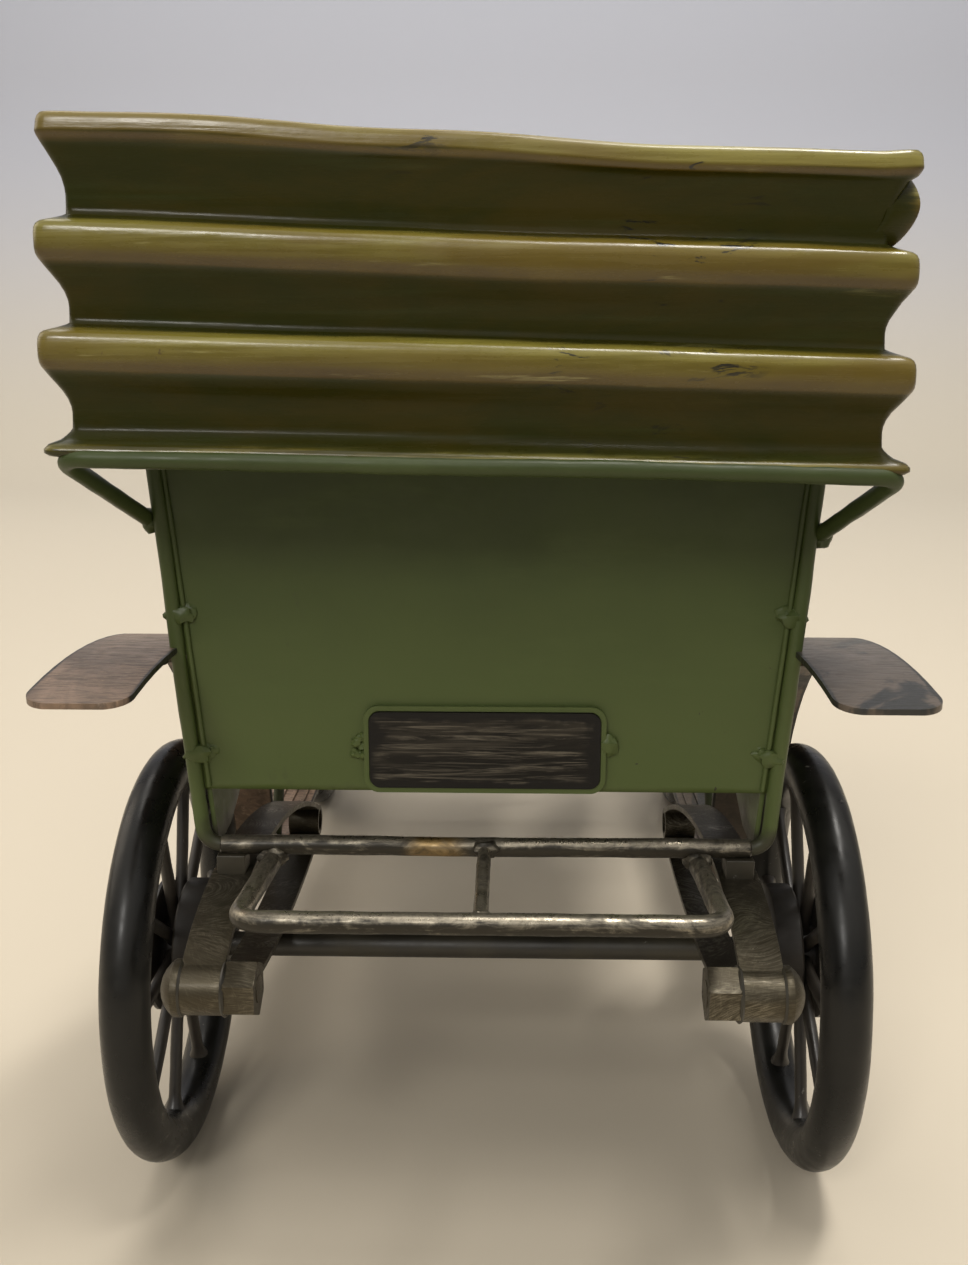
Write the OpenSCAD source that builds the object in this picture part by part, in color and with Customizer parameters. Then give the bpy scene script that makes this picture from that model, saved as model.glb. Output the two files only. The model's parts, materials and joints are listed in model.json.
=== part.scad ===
// Veteran open motor car: a sheet-metal table model with a folded, pleated hood.
// +Z is up, +Y is the way the car drives, +X is its right-hand side.

/* [Wheels and axles] */
// Radius of a wheel over the tyre
wheel_r = 38; // [37:0.5:39]
// Radius of the round tyre section
tyre_r = 4.1; // [3.8:0.1:4.3]
// Distance from the centre line to the middle of a wheel
half_track = 57.5; // [57:0.5:59]
// Distance between the two axles
wheelbase = 180; // [178:1:184]
// Spokes in a wheel
spokes = 10; // [8:1:12]
// Radius of an axle
axle_r = 2.2; // [2:0.1:2.6]
// Running clearance around an axle or pin
clearance = 0.05; // [0.03:0.01:0.08]

/* [Body] */
// Half width of the rear panel at its bottom edge
panel_low = 44.6; // [44:0.1:45]
// Half width of the rear panel at its top edge
panel_high = 49.3; // [49:0.1:50]
// Height of the rear panel's bottom edge, level with the floor
floor_z = 78; // [77:0.5:79]
// Height of the rear panel's top edge
panel_top = 130; // [129:0.5:131]
// Height of the side panels' bottom edge
sill_z = 68; // [67.5:0.1:68.5]
// Thickness of the sheet metal
sheet = 0.8; // [0.6:0.1:1]

/* [Rear frame and rack] */
// Radius of the side tubes
tube_r = 1.2; // [1:0.1:1.3]
// Radius of the cross bar and the rack's rod
rod_r = 1.6; // [1.4:0.1:1.7]
// Height of the cross bar
bar_z = 68.6; // [68:0.1:69]
// Half width of the luggage rack
rack_half = 34; // [33:0.2:36]
// Length of the luggage rack behind the cross bar
rack_len = 29.5; // [26:0.5:32]

/* [Hood] */
// Half width over the pleats
hood_half = 56.8; // [56:0.1:57.5]
// Distance of the rearmost pleat behind the rear panel
hood_back = 24; // [22:0.5:26]
// Length of the hood's side walls from its rear face
hood_len = 44; // [38:1:48]
// Height of one pleat
pleat = 13.8; // [13.4:0.1:14.2]
// Depth of one pleat
pleat_depth = 4; // [3.4:0.1:4.4]
// Sag of the folded hood towards the car's right, as a slope
hood_sag = 0.02; // [0:0.005:0.025]

/* [Mudguards] */
// Inner edge of a mudguard from the centre line
guard_in = 47.6; // [47:0.2:48]
// Outer edge of a mudguard from the centre line
guard_out = 62.4; // [62:0.2:66]
// Height of the running boards
board_z = 29; // [27:1:31]

/* [Steering] */
// Distance from the centre line to a king pin
king_x = 47; // [46.5:0.5:47.5]
// Rake of the steering column from upright
column_rake = 38; // [34:1:42]

/* [Hidden] */
$fn = 48;

front_y = wheelbase;              // front axle; the rear axle is at y = 0
panel_y = -26;                    // outer face of the rear panel
rack_y = panel_y - rack_len;
nose_y = wheelbase + 40;          // tip of the front mudguards
eye = [-48, 55.2];                 // spring eye, from its axle, as [y, z]
eye_r = 3.9;
mid_y = (front_y - eye[0] + eye_r + rack_y - rod_r) / 2;
lean = atan((panel_high - panel_low) / (panel_top - floor_z));

// Puts a shape measured from the rear axle into the car's own frame.
module from_axle() { translate([0, -mid_y, 0]) children(); }
module both_sides() {
    children();
    mirror([1, 0, 0]) children();
}
// Lets the hood's parts hang a little lower on the right.
module sagging() { multmatrix([[1, 0, 0, 0], [0, 1, 0, 0], [-hood_sag, 0, 1, 0]]) children(); }
// Turns an outline drawn in (y, z) into a solid from x to x + width.
module across(x, width) { translate([x, 0, 0]) rotate([90, 0, 90]) linear_extrude(width) children(); }
// A round bar along x.
module bar_x(x1, x2, r) { translate([x1, 0, 0]) rotate([0, 90, 0]) cylinder(r = r, h = x2 - x1); }

function unit(v) = v / norm(v);
function bend(a, p, b, d, n) = let (s = p + d * unit(a - p), e = p + d * unit(b - p))
    [for (i = [0:n]) let (t = i / n) (1 - t) * (1 - t) * s + 2 * t * (1 - t) * p + t * t * e];
// A path through the points with each corner rounded over the distance d.
function rounded(pts, d, n = 6) = concat([pts[0]],
    [for (i = [1:len(pts) - 2]) each bend(pts[i - 1], pts[i], pts[i + 1], d, n)],
    [pts[len(pts) - 1]]);
function bezier(p, n = 24) = [for (i = [0:n]) let (t = i / n, s = 1 - t)
    s * s * s * p[0] + 3 * s * s * t * p[1] + 3 * s * t * t * p[2] + t * t * t * p[3]];
function heading(path, i) = unit(path[min(i + 1, len(path) - 1)] - path[max(i - 1, 0)]);
function left_of(v) = [-v[1], v[0]];
// The outline of a strip of the thickness t, centred on a path.
function strip(path, t) = concat(
    [for (i = [0:len(path) - 1]) path[i] + t / 2 * left_of(heading(path, i))],
    [for (i = [len(path) - 1:-1:0]) path[i] - t / 2 * left_of(heading(path, i))]);

// A round tube of radius r along a path; ref is a direction that the path never takes.
module tube_along(path, r, ref, sides = 16) {
    last = len(path) - 1;
    rings = [for (i = [0:last])
        let (t = heading(path, i), u = unit(cross(t, ref)), v = cross(u, t))
        for (k = [0:sides - 1])
            path[i] + r * (cos(360 * k / sides) * u + sin(360 * k / sides) * v)];
    walls = [for (i = [0:last - 1], k = [0:sides - 1])
        let (a = i * sides + k, b = i * sides + (k + 1) % sides) [a, b, b + sides, a + sides]];
    polyhedron(rings, concat([[for (k = [sides - 1:-1:0]) k]], walls,
        [[for (k = [0:sides - 1]) last * sides + k]]));
}
// A plate in (x, z) with round corners, from y to y + t.
module round_plate(half, low, high, r, y, t) {
    translate([0, y + t, 0]) rotate([90, 0, 0]) linear_extrude(t) {
        translate([-half + r, low]) square([2 * (half - r), high - low]);
        translate([-half, low + r]) square([2 * half, high - low - 2 * r]);
        for (x = [-half + r, half - r], z = [low + r, high - r]) translate([x, z]) circle(r);
    }
}

// ---- Body ----

module rear_panel() {
    color("#5d7a45") from_axle() translate([0, panel_y + sheet, 0]) rotate([90, 0, 0])
        linear_extrude(sheet) polygon([[-panel_low, floor_z], [panel_low, floor_z],
            [panel_high, panel_top], [-panel_high, panel_top]]);
}
// The side's outline in (y, z), with z counted up from the sill.
body_front = 118;                   // front edge of the sides and the floor
side_outline = [[panel_y + sheet + 0.1, 0], [-16, 0.4], [-4, 4], [6, 8], [body_front, 8],
    [body_front, 44], [106, 43], [96, 26],
    [84, 22], [76, 24], [66, 38], [50, 46], [40, 44], [34, 30], [24, 26], [14, 30], [6, 50], [-4, 60],
    [panel_y + sheet + 0.1, 62]];
module side_panel() {
    sill_x = panel_low - (floor_z - sill_z) * tan(lean);
    from_axle() translate([sill_x, 0, sill_z]) rotate([0, lean, 0])
        across(-sheet, sheet) polygon(side_outline);
}
module side_panel_right() { color("#5d7a45") side_panel(); }
module side_panel_left() { color("#5d7a45") mirror([1, 0, 0]) side_panel(); }
module floor_pan() {
    color("#3d4a33") from_axle() translate([-panel_low + 1, panel_y + 1, floor_z])
        cube([2 * panel_low - 2, body_front - panel_y - 1.2, sheet]);
}
module rear_tube_frame() {
    top = [panel_high + 0.8, panel_y, panel_top + 1.5];
    low = [panel_low + 0.5, panel_y, bar_z];
    color("#5d7a45") from_axle() both_sides()
        tube_along(rounded([top, low, low - [4.5, 0, 0]], 3.4), tube_r, [0, 1, 0]);
}
module rear_cross_bar() {
    color("#7a7468") from_axle() translate([0, panel_y, bar_z])
        bar_x(-panel_low + 2.4, panel_low - 2.4, rod_r);
}
// Solder holds the panel to the tubes, two blobs a side, and the plate to the panel.
module solder_joints() {
    color("#68854d") from_axle() {
        for (s = [-1, 1], z = [84, 106.5])
            translate([s * (panel_low + (z - floor_z) * tan(lean)), panel_y - 0.2, z])
                sphere(r = 1.9);
        for (s = [-1, 1]) translate([s * 19.6, panel_y - 0.2, 85.5]) sphere(r = 1.7);
    }
}
module number_plate_frame() {
    color("#5d7a45") from_axle() difference() {
        round_plate(19, floor_z, 92.2, 2.4, panel_y - 0.9, 0.9);
        round_plate(18.2, floor_z + 0.8, 91.4, 1.8, panel_y - 1, 0.7);
    }
}
module number_plate() {
    color("#3a3a38") from_axle() round_plate(18.1, floor_z + 0.9, 91.3, 1.7, panel_y - 1.2, 0.88);
}
module luggage_rack() {
    inner = [rack_half, panel_y - 0.2, bar_z - rod_r - 0.6];
    outer = [rack_half, rack_y, bar_z + 0.9];
    flip = [-1, 1, 1];
    color("#7a7468") from_axle() tube_along(rounded([inner, outer,
        [for (i = [0:2]) outer[i] * flip[i]], [for (i = [0:2]) inner[i] * flip[i]]], 4.5),
        rod_r, [0, 0.1, 1]);
}
module rack_strut() {
    color("#7a7468") from_axle()
        tube_along([[0, panel_y - 0.4, bar_z], [0, rack_y + 0.6, bar_z + 0.9]], 1.1, [0, 0, 1]);
}
dash_top = 118;
dash_t = 2;
module dashboard() {
    color("#4d663a") from_axle()
        round_plate(panel_low - 3.2, rail_top, dash_top, 10, body_front + 0.2, dash_t);
}
bonnet_end = front_y - 8;
module bonnet_outline(half, low, high) {
    translate([-half, low]) square([2 * half, high - low - half * 0.6]);
    intersection() {
        translate([0, high - half * 1.25]) circle(half * 1.25, $fn = 72);
        translate([-half, low]) square([2 * half, high - low]);
    }
}
module bonnet() {
    color("#5d7a45") from_axle() translate([0, bonnet_end, 0]) rotate([90, 0, 0])
        linear_extrude(bonnet_end - body_front - dash_t - 0.3) difference() {
            bonnet_outline(25, rail_top + 0.05, 112);
            translate([0, -0.01]) bonnet_outline(24.2, rail_top + 0.05, 111.2);
        }
}
module radiator_shell() {
    color("#b08d45") from_axle() difference() {
        translate([0, bonnet_end + 8.1, 0]) rotate([90, 0, 0])
            linear_extrude(8) bonnet_outline(27, 70, 115);
        translate([0, bonnet_end + 9, 0]) rotate([90, 0, 0])
            linear_extrude(8) bonnet_outline(23, 74, 110.5);
    }
}
module radiator_core() {
    color("#4a4a46") from_axle() difference() {
        translate([0, bonnet_end + 7.2, 0]) rotate([90, 0, 0])
            linear_extrude(6) bonnet_outline(22.9, 74.1, 110.4);
        for (z = [77:3:106]) translate([-30, bonnet_end + 6.2, z]) cube([60, 2, 1.2]);
    }
}
module radiator_cap() {
    color("#b08d45") from_axle() translate([0, bonnet_end + 4, 114.6]) {
        cylinder(r = 3.4, h = 2.4);
        translate([0, 0, 2.4]) cylinder(r = 4.4, h = 2);
        translate([0, 0, 4.4]) cylinder(r = 1.4, h = 2.4);
    }
}

// ---- Seats: pressed sheet with rolled pleats ----

module pleated_pad(width, depth, thick, rolls) {
    step = width / rolls;
    translate([-width / 2, 0, 0]) cube([width, depth, thick - 1.2]);
    for (i = [0:rolls - 1]) translate([-width / 2 + step * (i + 0.5), 0.6, thick - 1.6])
        rotate([-90, 0, 0]) cylinder(r = step * 0.47, h = depth - 1.2);
}
module seat_cushion(y, z, half, depth) {
    box_top = z - floor_z - sheet - 0.1;
    color("#6b4a2c") from_axle() translate([0, y, z]) {
        pleated_pad(2 * half, depth, 7, 12);
        translate([-half + 2, 1, -box_top]) cube([2 * half - 4, depth - 2, box_top]);
    }
}
module seat_back(y, z, half, height) {
    color("#6b4a2c") from_axle() translate([0, y, z]) rotate([90, 0, 180])
        pleated_pad(2 * half, height, 5.2, 12);
}
module front_seat_cushion() { seat_cushion(47, 86, 37, 24); }
module rear_seat_cushion() { seat_cushion(-16, 86, 37, 26); }
module front_seat_back() { seat_back(41, 92, 37, 26); }
module rear_seat_back() { seat_back(-24.4, 92, 38, 34); }

// ---- Folded hood ----

// One pleat's outline as [depth, height]: valley, slope, round nose and flat ledge.
slope_points = bezier([[0, 2.6], [0.2, 5.4], [1.6, 7], [3.2, 8.6]], 6);
nose_points = [for (a = [-50:20:90]) [pleat_depth - 1.5 + 1.5 * cos(a), pleat - 2.4 + 2.2 * sin(a)]];
one_pleat = concat([[0, 0]], slope_points, nose_points, [[0.4, pleat - 0.2]]);
hood_low = bar_z + 63.3;            // underside of the hood's bottom lip
lip_h = 2.4;
lip_points = [for (a = [-60:20:90]) [pleat_depth - 2 + 1.6 * cos(a), lip_h - 1.1 + 1.1 * sin(a)]];
hood_side_len = hood_len - 7;       // straight part of a side wall, ahead of its round corner
hood_outline = concat([[-1, 0]], [[pleat_depth - 2.4, 0]], lip_points,
    [for (k = [0:2]) each [for (p = one_pleat) p + [0, lip_h + k * pleat]]],
    [[-1, lip_h + 3 * pleat - 0.2]]);
hood_corner_r = 3;
module hood_corner() {
    rotate_extrude(angle = 90, $fn = 48) translate([hood_corner_r, 0]) polygon(hood_outline);
}
module hood_cover() {
    x = hood_half - pleat_depth - hood_corner_r;
    y = panel_y - hood_back + pleat_depth + hood_corner_r;
    color("#6e6a2a") from_axle() sagging() translate([0, 0, hood_low]) {
        translate([x, y, 0]) rotate([0, 0, -90]) hood_corner();
        translate([-x, y, 0]) rotate([0, 0, 180]) hood_corner();
        translate([x, y - hood_corner_r, 0]) rotate([90, 0, -90])
            linear_extrude(2 * x) polygon(hood_outline);
        translate([x + hood_corner_r, y, 0]) rotate([90, 0, 0])
            mirror([0, 0, 1]) linear_extrude(hood_side_len) polygon(hood_outline);
        translate([-x - hood_corner_r, y, 0]) mirror([1, 0, 0]) rotate([90, 0, 0])
            mirror([0, 0, 1]) linear_extrude(hood_side_len) polygon(hood_outline);
    }
}
module hood_top_panel() {
    inner = hood_half - pleat_depth - 1.1;
    back = panel_y - hood_back + pleat_depth + 1.1;
    color("#6e6a2a") from_axle() sagging() translate([-inner, back, hood_low + lip_h + 3 * pleat - 4])
        cube([2 * inner, hood_len - pleat_depth - 1.2, 1]);
}
bow_y = panel_y - 20;
bow_z = hood_low - 0.5;
module hood_rear_bow() {
    corner = [hood_half - 0.1, bow_y, bow_z];
    foot = [panel_high + 1.6, panel_y + 1.6, panel_top - 10];
    flip = [-1, 1, 1];
    color("#5d7a45") from_axle() sagging() tube_along(rounded([foot, corner,
        [for (i = [0:2]) corner[i] * flip[i]], [for (i = [0:2]) foot[i] * flip[i]]], 3.5),
        1.35, [0, 0.6, 1]);
}
module hood_side_struts() {
    top = [hood_half - pleat_depth - 0.2, panel_y + 14, hood_low + 1.2];
    foot = [panel_high - 0.2, panel_y + 12, panel_top - 7];
    color("#5d7a45") from_axle() sagging() both_sides() tube_along([top, foot], 1.1, [0, 1, 0]);
}

// ---- Mudguards and running boards ----

// Centre line of the rear mudguard in (y, z): a shallow arch, then a tighter bend down.
arch_r = 140;
arch_y = -35;
arch_top = 101.2;
fall_r = 60;
guard_t = 0.9;
rear_arch = [for (a = [-7.8:2:14.2]) [arch_y + arch_r * sin(a), arch_top - arch_r * (1 - cos(a))]];
arch_end = [arch_y + arch_r * sin(14.2), arch_top - arch_r * (1 - cos(14.2))];
rear_fall = [for (a = [18.2:6:72.2])
    arch_end + fall_r * [sin(a) - sin(14.2), cos(a) - cos(14.2)]];
fall_end = rear_fall[len(rear_fall) - 1];
board_start = [fall_end[0] + 11, board_z];
rear_foot = bezier([fall_end, fall_end + [3.3, -10], board_start - [6, 0], board_start], 8);
rear_guard_line = concat(rear_arch, rear_fall, [for (i = [1:8]) rear_foot[i]]);
// The front mudguard rises from the running board, crosses the wheel and ends in a nose.
board_end = front_y - 54;
front_guard_line = concat(
    bezier([[board_end, board_z], [board_end + 6, board_z], [front_y - 46, 42], [front_y - 42, 56]], 8),
    [for (i = [1:16]) bezier([[front_y - 42, 56], [front_y - 34, 84], [front_y - 8, 97],
        [front_y + 36, 88]], 16)[i]],
    [[nose_y - 0.2, 86.4]]);
module guard_band(line) { across(guard_in, guard_out - guard_in) polygon(strip(line, guard_t)); }
// Rounds the outer and inner corners of a guard's free end; dir is +1 for an end at high y.
module guard_trim(y, dir, r = 4) {
    for (x = [guard_in, guard_out]) let (s = x == guard_in ? 1 : -1)
        translate([x, y, 70]) difference() {
            translate([-1 + (s > 0 ? 0 : -r + 1), dir > 0 ? -r : -1, 0]) cube([r + 1, r + 1, 40]);
            translate([s * r, -dir * r, -1]) cylinder(r = r, h = 42);
        }
}
module rear_mudguard() {
    from_axle() difference() {
        guard_band(rear_guard_line);
        guard_trim(rear_arch[0][0], -1);
    }
}
module front_mudguard() {
    from_axle() difference() {
        guard_band(front_guard_line);
        guard_trim(nose_y - 0.2, 1);
    }
}
module rear_mudguard_right() { color("#7b6650") rear_mudguard(); }
module rear_mudguard_left() { color("#7b6650") mirror([1, 0, 0]) rear_mudguard(); }
module front_mudguard_right() { color("#7b6650") front_mudguard(); }
module front_mudguard_left() { color("#7b6650") mirror([1, 0, 0]) front_mudguard(); }
module running_board() {
    from_axle() translate([guard_in, board_start[0] + 0.05, board_z - 0.6]) {
        cube([guard_out - guard_in, board_end - board_start[0] - 0.1, 1.2]);
        for (x = [2:3:14]) translate([x, 3, 1])
            cube([1, board_end - board_start[0] - 6, 0.8]);
    }
}
module running_board_right() { color("#7b6650") running_board(); }
module running_board_left() { color("#7b6650") mirror([1, 0, 0]) running_board(); }
// Round-headed studs that hold the mudguards to the side tubes and the bonnet.
module mudguard_studs() {
    color("#6b6a5a") from_axle() both_sides() {
        translate([0, panel_y + 1, 99.6]) {
            bar_x(panel_low + 1.8, guard_in + 3, 1);
            translate([guard_in + 3, 0, 0]) sphere(r = 1.5);
        }
        translate([0, front_y - 16, 84.5]) bar_x(25.1, guard_in + 4, 1.2);
    }
}
module board_brackets() {
    color("#3d4a33") from_axle() both_sides() for (y = [74, 112])
        tube_along(rounded([[37.2, y, 74], [50, y, 72], [52, y, 40], [53, y, board_z + 0.5]], 4),
            1.3, [0, 1, 0], 10);
}

// ---- Chassis, springs and axles ----

rail_in = 31;
rail_top = floor_z - 0.1;
rail_h = 7.9;
rail_start = -2;                    // rear end of the rails
crank_z = 65.5;
// Two rails joined by a front plate that backs the radiator and carries the crank.
module chassis_rails() {
    color("#3d3d38") from_axle() difference() {
        union() {
            both_sides() translate([rail_in, rail_start, rail_top - rail_h])
                cube([6.4, front_y + 4 - rail_start, rail_h]);
            translate([-rail_in, bonnet_end - 3, crank_z - 5])
                cube([2 * rail_in, 3, rail_top - crank_z + 5]);
        }
        translate([0, bonnet_end - 4, crank_z]) rotate([-90, 0, 0])
            cylinder(r = 1.5 + clearance, h = 5);
    }
}
strip_w = 6.4;
strip_t = 1;
rear_strip_x = 37.4;
front_strip_x = rail_in;
curl = [44, 45.2];                // far curl of a spring, as [y, z]
curl_r = 3.2;
bolt_r = 2;
upper_leaf = bezier([eye + [0, eye_r - 0.5], [-30, 69], [14, 64], curl + [0, curl_r - 0.5]]);
lower_leaf = bezier([eye - [0, eye_r - 0.5], [-25, 41], [18, 40.4], curl - [0, curl_r - 0.5]]);
// Full elliptic spring: one strip rolled into an eye behind and a curl in front.
module leaf_spring(x) {
    across(x, strip_w) {
        polygon(strip(upper_leaf, strip_t));
        polygon(strip(lower_leaf, strip_t));
    }
    for (p = [[eye, eye_r, bolt_r + clearance], [curl, curl_r, curl_r - 0.95]])
        translate([0, p[0][0], p[0][1]]) difference() {
            bar_x(x, x + strip_w, p[1]);
            bar_x(x - 1, x + strip_w + 1, p[2]);
        }
}
module rear_spring_right() { color("#5b574e") from_axle() leaf_spring(rear_strip_x); }
module rear_spring_left() { color("#5b574e") mirror([1, 0, 0]) from_axle() leaf_spring(rear_strip_x); }
module front_spring() {
    from_axle() translate([0, front_y, 0]) mirror([0, 1, 0]) leaf_spring(front_strip_x);
}
module front_spring_right() { color("#5b574e") front_spring(); }
module front_spring_left() { color("#5b574e") mirror([1, 0, 0]) front_spring(); }
module at_eyes() {
    from_axle() both_sides()
        for (p = [[rear_strip_x, eye[0]], [front_strip_x, front_y - eye[0]]])
            translate([p[0], p[1], eye[1]]) children();
}
module spring_bolts() {
    color("#4a4843") at_eyes() {
        bar_x(-4.8, strip_w + 0.05, bolt_r);
        translate([strip_w + 0.05, 0, 0]) rotate([0, 90, 0]) {
            cylinder(r = 4.2, h = 1);
            translate([0, 0, 1]) intersection() {
                translate([0, 0, -3]) sphere(r = 5.16);
                cylinder(r = 6, h = 4);
            }
        }
    }
}
module spring_nuts() {
    color("#4a4843") at_eyes() translate([-4.7, 0, 0]) rotate([0, 90, 0]) difference() {
        intersection() {
            cylinder(r = 4.3, h = 4.6, $fn = 6);
            translate([0, 0, 2.3]) sphere(r = 4.75);
        }
        translate([0, 0, -1]) cylinder(r = bolt_r + clearance, h = 7);
    }
}
front_crest = 63.4;
// Blocks that join the springs' crests to the cross bar and to the chassis rails.
module spring_blocks() {
    color("#2a2926") from_axle() both_sides() {
        translate([rear_strip_x + 0.9, panel_y - 2, 63.7]) cube([4.6, 4, 3.7]);
        translate([front_strip_x + 0.7, front_y - 4, front_crest])
            cube([5, 12, rail_top - rail_h - front_crest]);
    }
}
module rear_axle() {
    color("#2c2b29") from_axle() translate([0, 0, wheel_r])
        bar_x(-half_track - 4.6, half_track + 4.6, axle_r);
}
module front_axle() {
    color("#2c2b29") from_axle() translate([0, front_y, wheel_r]) difference() {
        union() {
            bar_x(-king_x, king_x, axle_r);
            both_sides() translate([king_x, 0, -3]) cylinder(r = 3.6, h = 6);
        }
        both_sides() translate([king_x, 0, -4]) cylinder(r = 1.6, h = 8);
    }
}
module king_pins() {
    color("#4a4843") from_axle() both_sides() translate([king_x, front_y, wheel_r - 7]) {
        cylinder(r = 1.6, h = 14);
        translate([0, 0, 14]) cylinder(r = 2.6, h = 1);
        translate([0, 0, -1]) cylinder(r = 2.6, h = 1);
    }
}
arm_len = 12;
// Yoke around the axle's end, with the wheel's shaft and the steering arm.
module stub_axle() {
    from_axle() translate([king_x, front_y, wheel_r]) difference() {
        union() {
            for (z = [3.2, -5.4]) translate([0, 0, z]) {
                cylinder(r = 3.6, h = 2.2);
                translate([0, -3.2, 0]) cube([6, 6.4, 2.2]);
            }
            translate([4.4, -3.2, -5.4]) cube([2, 6.4, 10.8]);
            bar_x(6, half_track - king_x + 4.6, axle_r);
            translate([-1.5, -arm_len, -5.4]) cube([3, arm_len - 2, 2.2]);
            translate([0, -arm_len, -5.4]) cylinder(r = 1.5, h = 2.2);
            translate([0, -arm_len, -9.9]) cylinder(r = 1, h = 4.6);
        }
        translate([0, 0, -8]) cylinder(r = 1.6 + clearance, h = 16);
    }
}
module stub_axle_right() { color("#2c2b29") stub_axle(); }
module stub_axle_left() { color("#2c2b29") mirror([1, 0, 0]) stub_axle(); }
module tie_rod() {
    color("#4a4843") from_axle() translate([0, front_y - arm_len, wheel_r - 8.6]) difference() {
        union() {
            bar_x(-king_x + 2, king_x - 2, 1.3);
            both_sides() translate([king_x - 3.2, -2.8, -1]) cube([6.4, 5.6, 2]);
        }
        both_sides() translate([king_x - 1.08, -1.8, -2]) cube([2.16, 3.6, 4]);
    }
}

// ---- Steering wheel, lamps and crank ----

column_top = [18, 84, 130];
column_axis = [0, -sin(column_rake), cos(column_rake)];
module on_column() {
    from_axle() translate(column_top) rotate([column_rake, 0, 0]) children();
}
module steering_wheel() {
    color("#2a2420") on_column() {
        rotate_extrude($fn = 72) translate([13, 0]) circle(1.3, $fn = 24);
        cylinder(r = 3, h = 2.6, center = true);
        for (a = [0:90:270]) rotate([0, 0, a + 45]) bar_x(2, 12.6, 0.8);
        translate([0, 0, -52]) cylinder(r = 1.2, h = 52);
    }
}
module column_tube() {
    color("#b08d45") on_column() difference() {
        union() {
            translate([0, 0, -57]) cylinder(r = 2, h = 47);
            translate([0, 0, -12]) cylinder(r = 2.6, h = 2);
        }
        translate([0, 0, -53]) cylinder(r = 1.2 + clearance, h = 50);
    }
}
lamp = [36, front_y - 2, 96];
module headlamp_shells() {
    color("#b08d45") from_axle() both_sides() {
        translate(lamp) rotate([-90, 0, 0]) difference() {
            rotate_extrude() polygon([[0, -9], [3, -9], [6.6, -6], [8.4, -1], [8.8, 4],
                [9.6, 4], [9.6, 7], [8.4, 7], [8.4, 4.6], [0, 4.6]]);
            translate([0, 0, 4.7]) cylinder(r = 8.3, h = 4);
        }
        translate([lamp[0], lamp[1], rail_top]) cylinder(r = 1.4, h = lamp[2] - rail_top - 7.4);
    }
}
module headlamp_lenses() {
    color("#dfe6e2") from_axle() both_sides()
        translate(lamp + [0, 4.8, 0]) rotate([-90, 0, 0]) cylinder(r = 8.2, h = 1.6);
}
crank_arm = 14;
module starting_crank() {
    color("#4a4843") from_axle() translate([0, bonnet_end, crank_z]) rotate([-90, 0, 0]) {
        translate([0, 0, -8]) cylinder(r = 1.5, h = 24.4);
        translate([0, 0, 0.2]) cylinder(r = 2.6, h = 1.6);
        translate([0, 0, -4.8]) cylinder(r = 2.6, h = 1.6);
        rotate([0, 0, 90]) {
            translate([0, -1.5, 14]) cube([crank_arm, 3, 2.4]);
            translate([crank_arm, 0, 14]) cylinder(r = 1.5, h = 2.4);
            translate([crank_arm, 0, 14]) cylinder(r = 1.2, h = 14);
        }
    }
}

// ---- Wheels ----

module tyre(side, y) {
    color("#1d1d1c") from_axle() translate([side * half_track, y, wheel_r]) rotate([0, 90, 0])
        rotate_extrude($fn = 96) translate([wheel_r - tyre_r, 0]) circle(tyre_r, $fn = 32);
}
// Spoked wheel: round spokes, hub barrel, outer disc with a cap, and a drum inside.
barrel_in = -3.4;                   // inner end of the hub barrel, from the wheel's middle
drum_front = -1.6;
module spoked_wheel(side, y, drum_in, drum_r) {
    drum_rim = (barrel_in + drum_in) / 2;
    color("#262524") from_axle() translate([side * half_track, y, wheel_r])
        rotate([0, side * 90, 0]) difference() {
            union() {
                for (i = [0:spokes - 1]) rotate([0, 0, (i + 0.5) * 360 / spokes])
                    bar_x(4, wheel_r - 2 * tyre_r + 0.8, 1.15);
                translate([0, 0, barrel_in]) cylinder(r = 5, h = 4 - barrel_in);
                translate([0, 0, 2]) cylinder(r = 12, h = 1.2);
                translate([0, 0, 4]) cylinder(r = 4, h = 2.4);
                rotate_extrude() polygon([[0, drum_in], [4, drum_in], [drum_r, drum_rim],
                    [drum_r, drum_front], [0, drum_front]]);
            }
            translate([0, 0, drum_in - 1]) cylinder(r = axle_r + clearance, h = 6.2 - drum_in);
        }
}
module tyre_rear_left() { tyre(-1, 0); }
module tyre_rear_right() { tyre(1, 0); }
module tyre_front_left() { tyre(-1, front_y); }
module tyre_front_right() { tyre(1, front_y); }
module wheel_rear_left() { spoked_wheel(-1, 0, -9.5, 12); }
module wheel_rear_right() { spoked_wheel(1, 0, -9.5, 12); }
module wheel_front_left() { spoked_wheel(-1, front_y, -3.4, 10); }
module wheel_front_right() { spoked_wheel(1, front_y, -3.4, 10); }

rear_panel();
side_panel_left();
side_panel_right();
floor_pan();
rear_tube_frame();
rear_cross_bar();
solder_joints();
number_plate();
number_plate_frame();
luggage_rack();
rack_strut();
dashboard();
bonnet();
radiator_shell();
radiator_core();
radiator_cap();
front_seat_cushion();
front_seat_back();
rear_seat_cushion();
rear_seat_back();
hood_cover();
hood_top_panel();
hood_rear_bow();
hood_side_struts();
rear_mudguard_left();
rear_mudguard_right();
front_mudguard_left();
front_mudguard_right();
running_board_left();
running_board_right();
mudguard_studs();
board_brackets();
chassis_rails();
spring_blocks();
rear_spring_left();
rear_spring_right();
front_spring_left();
front_spring_right();
spring_bolts();
spring_nuts();
rear_axle();
front_axle();
king_pins();
stub_axle_left();
stub_axle_right();
tie_rod();
steering_wheel();
column_tube();
headlamp_shells();
headlamp_lenses();
starting_crank();
tyre_rear_left();
tyre_rear_right();
tyre_front_left();
tyre_front_right();
wheel_rear_left();
wheel_rear_right();
wheel_front_left();
wheel_front_right();
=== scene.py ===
import json
import math

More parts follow.
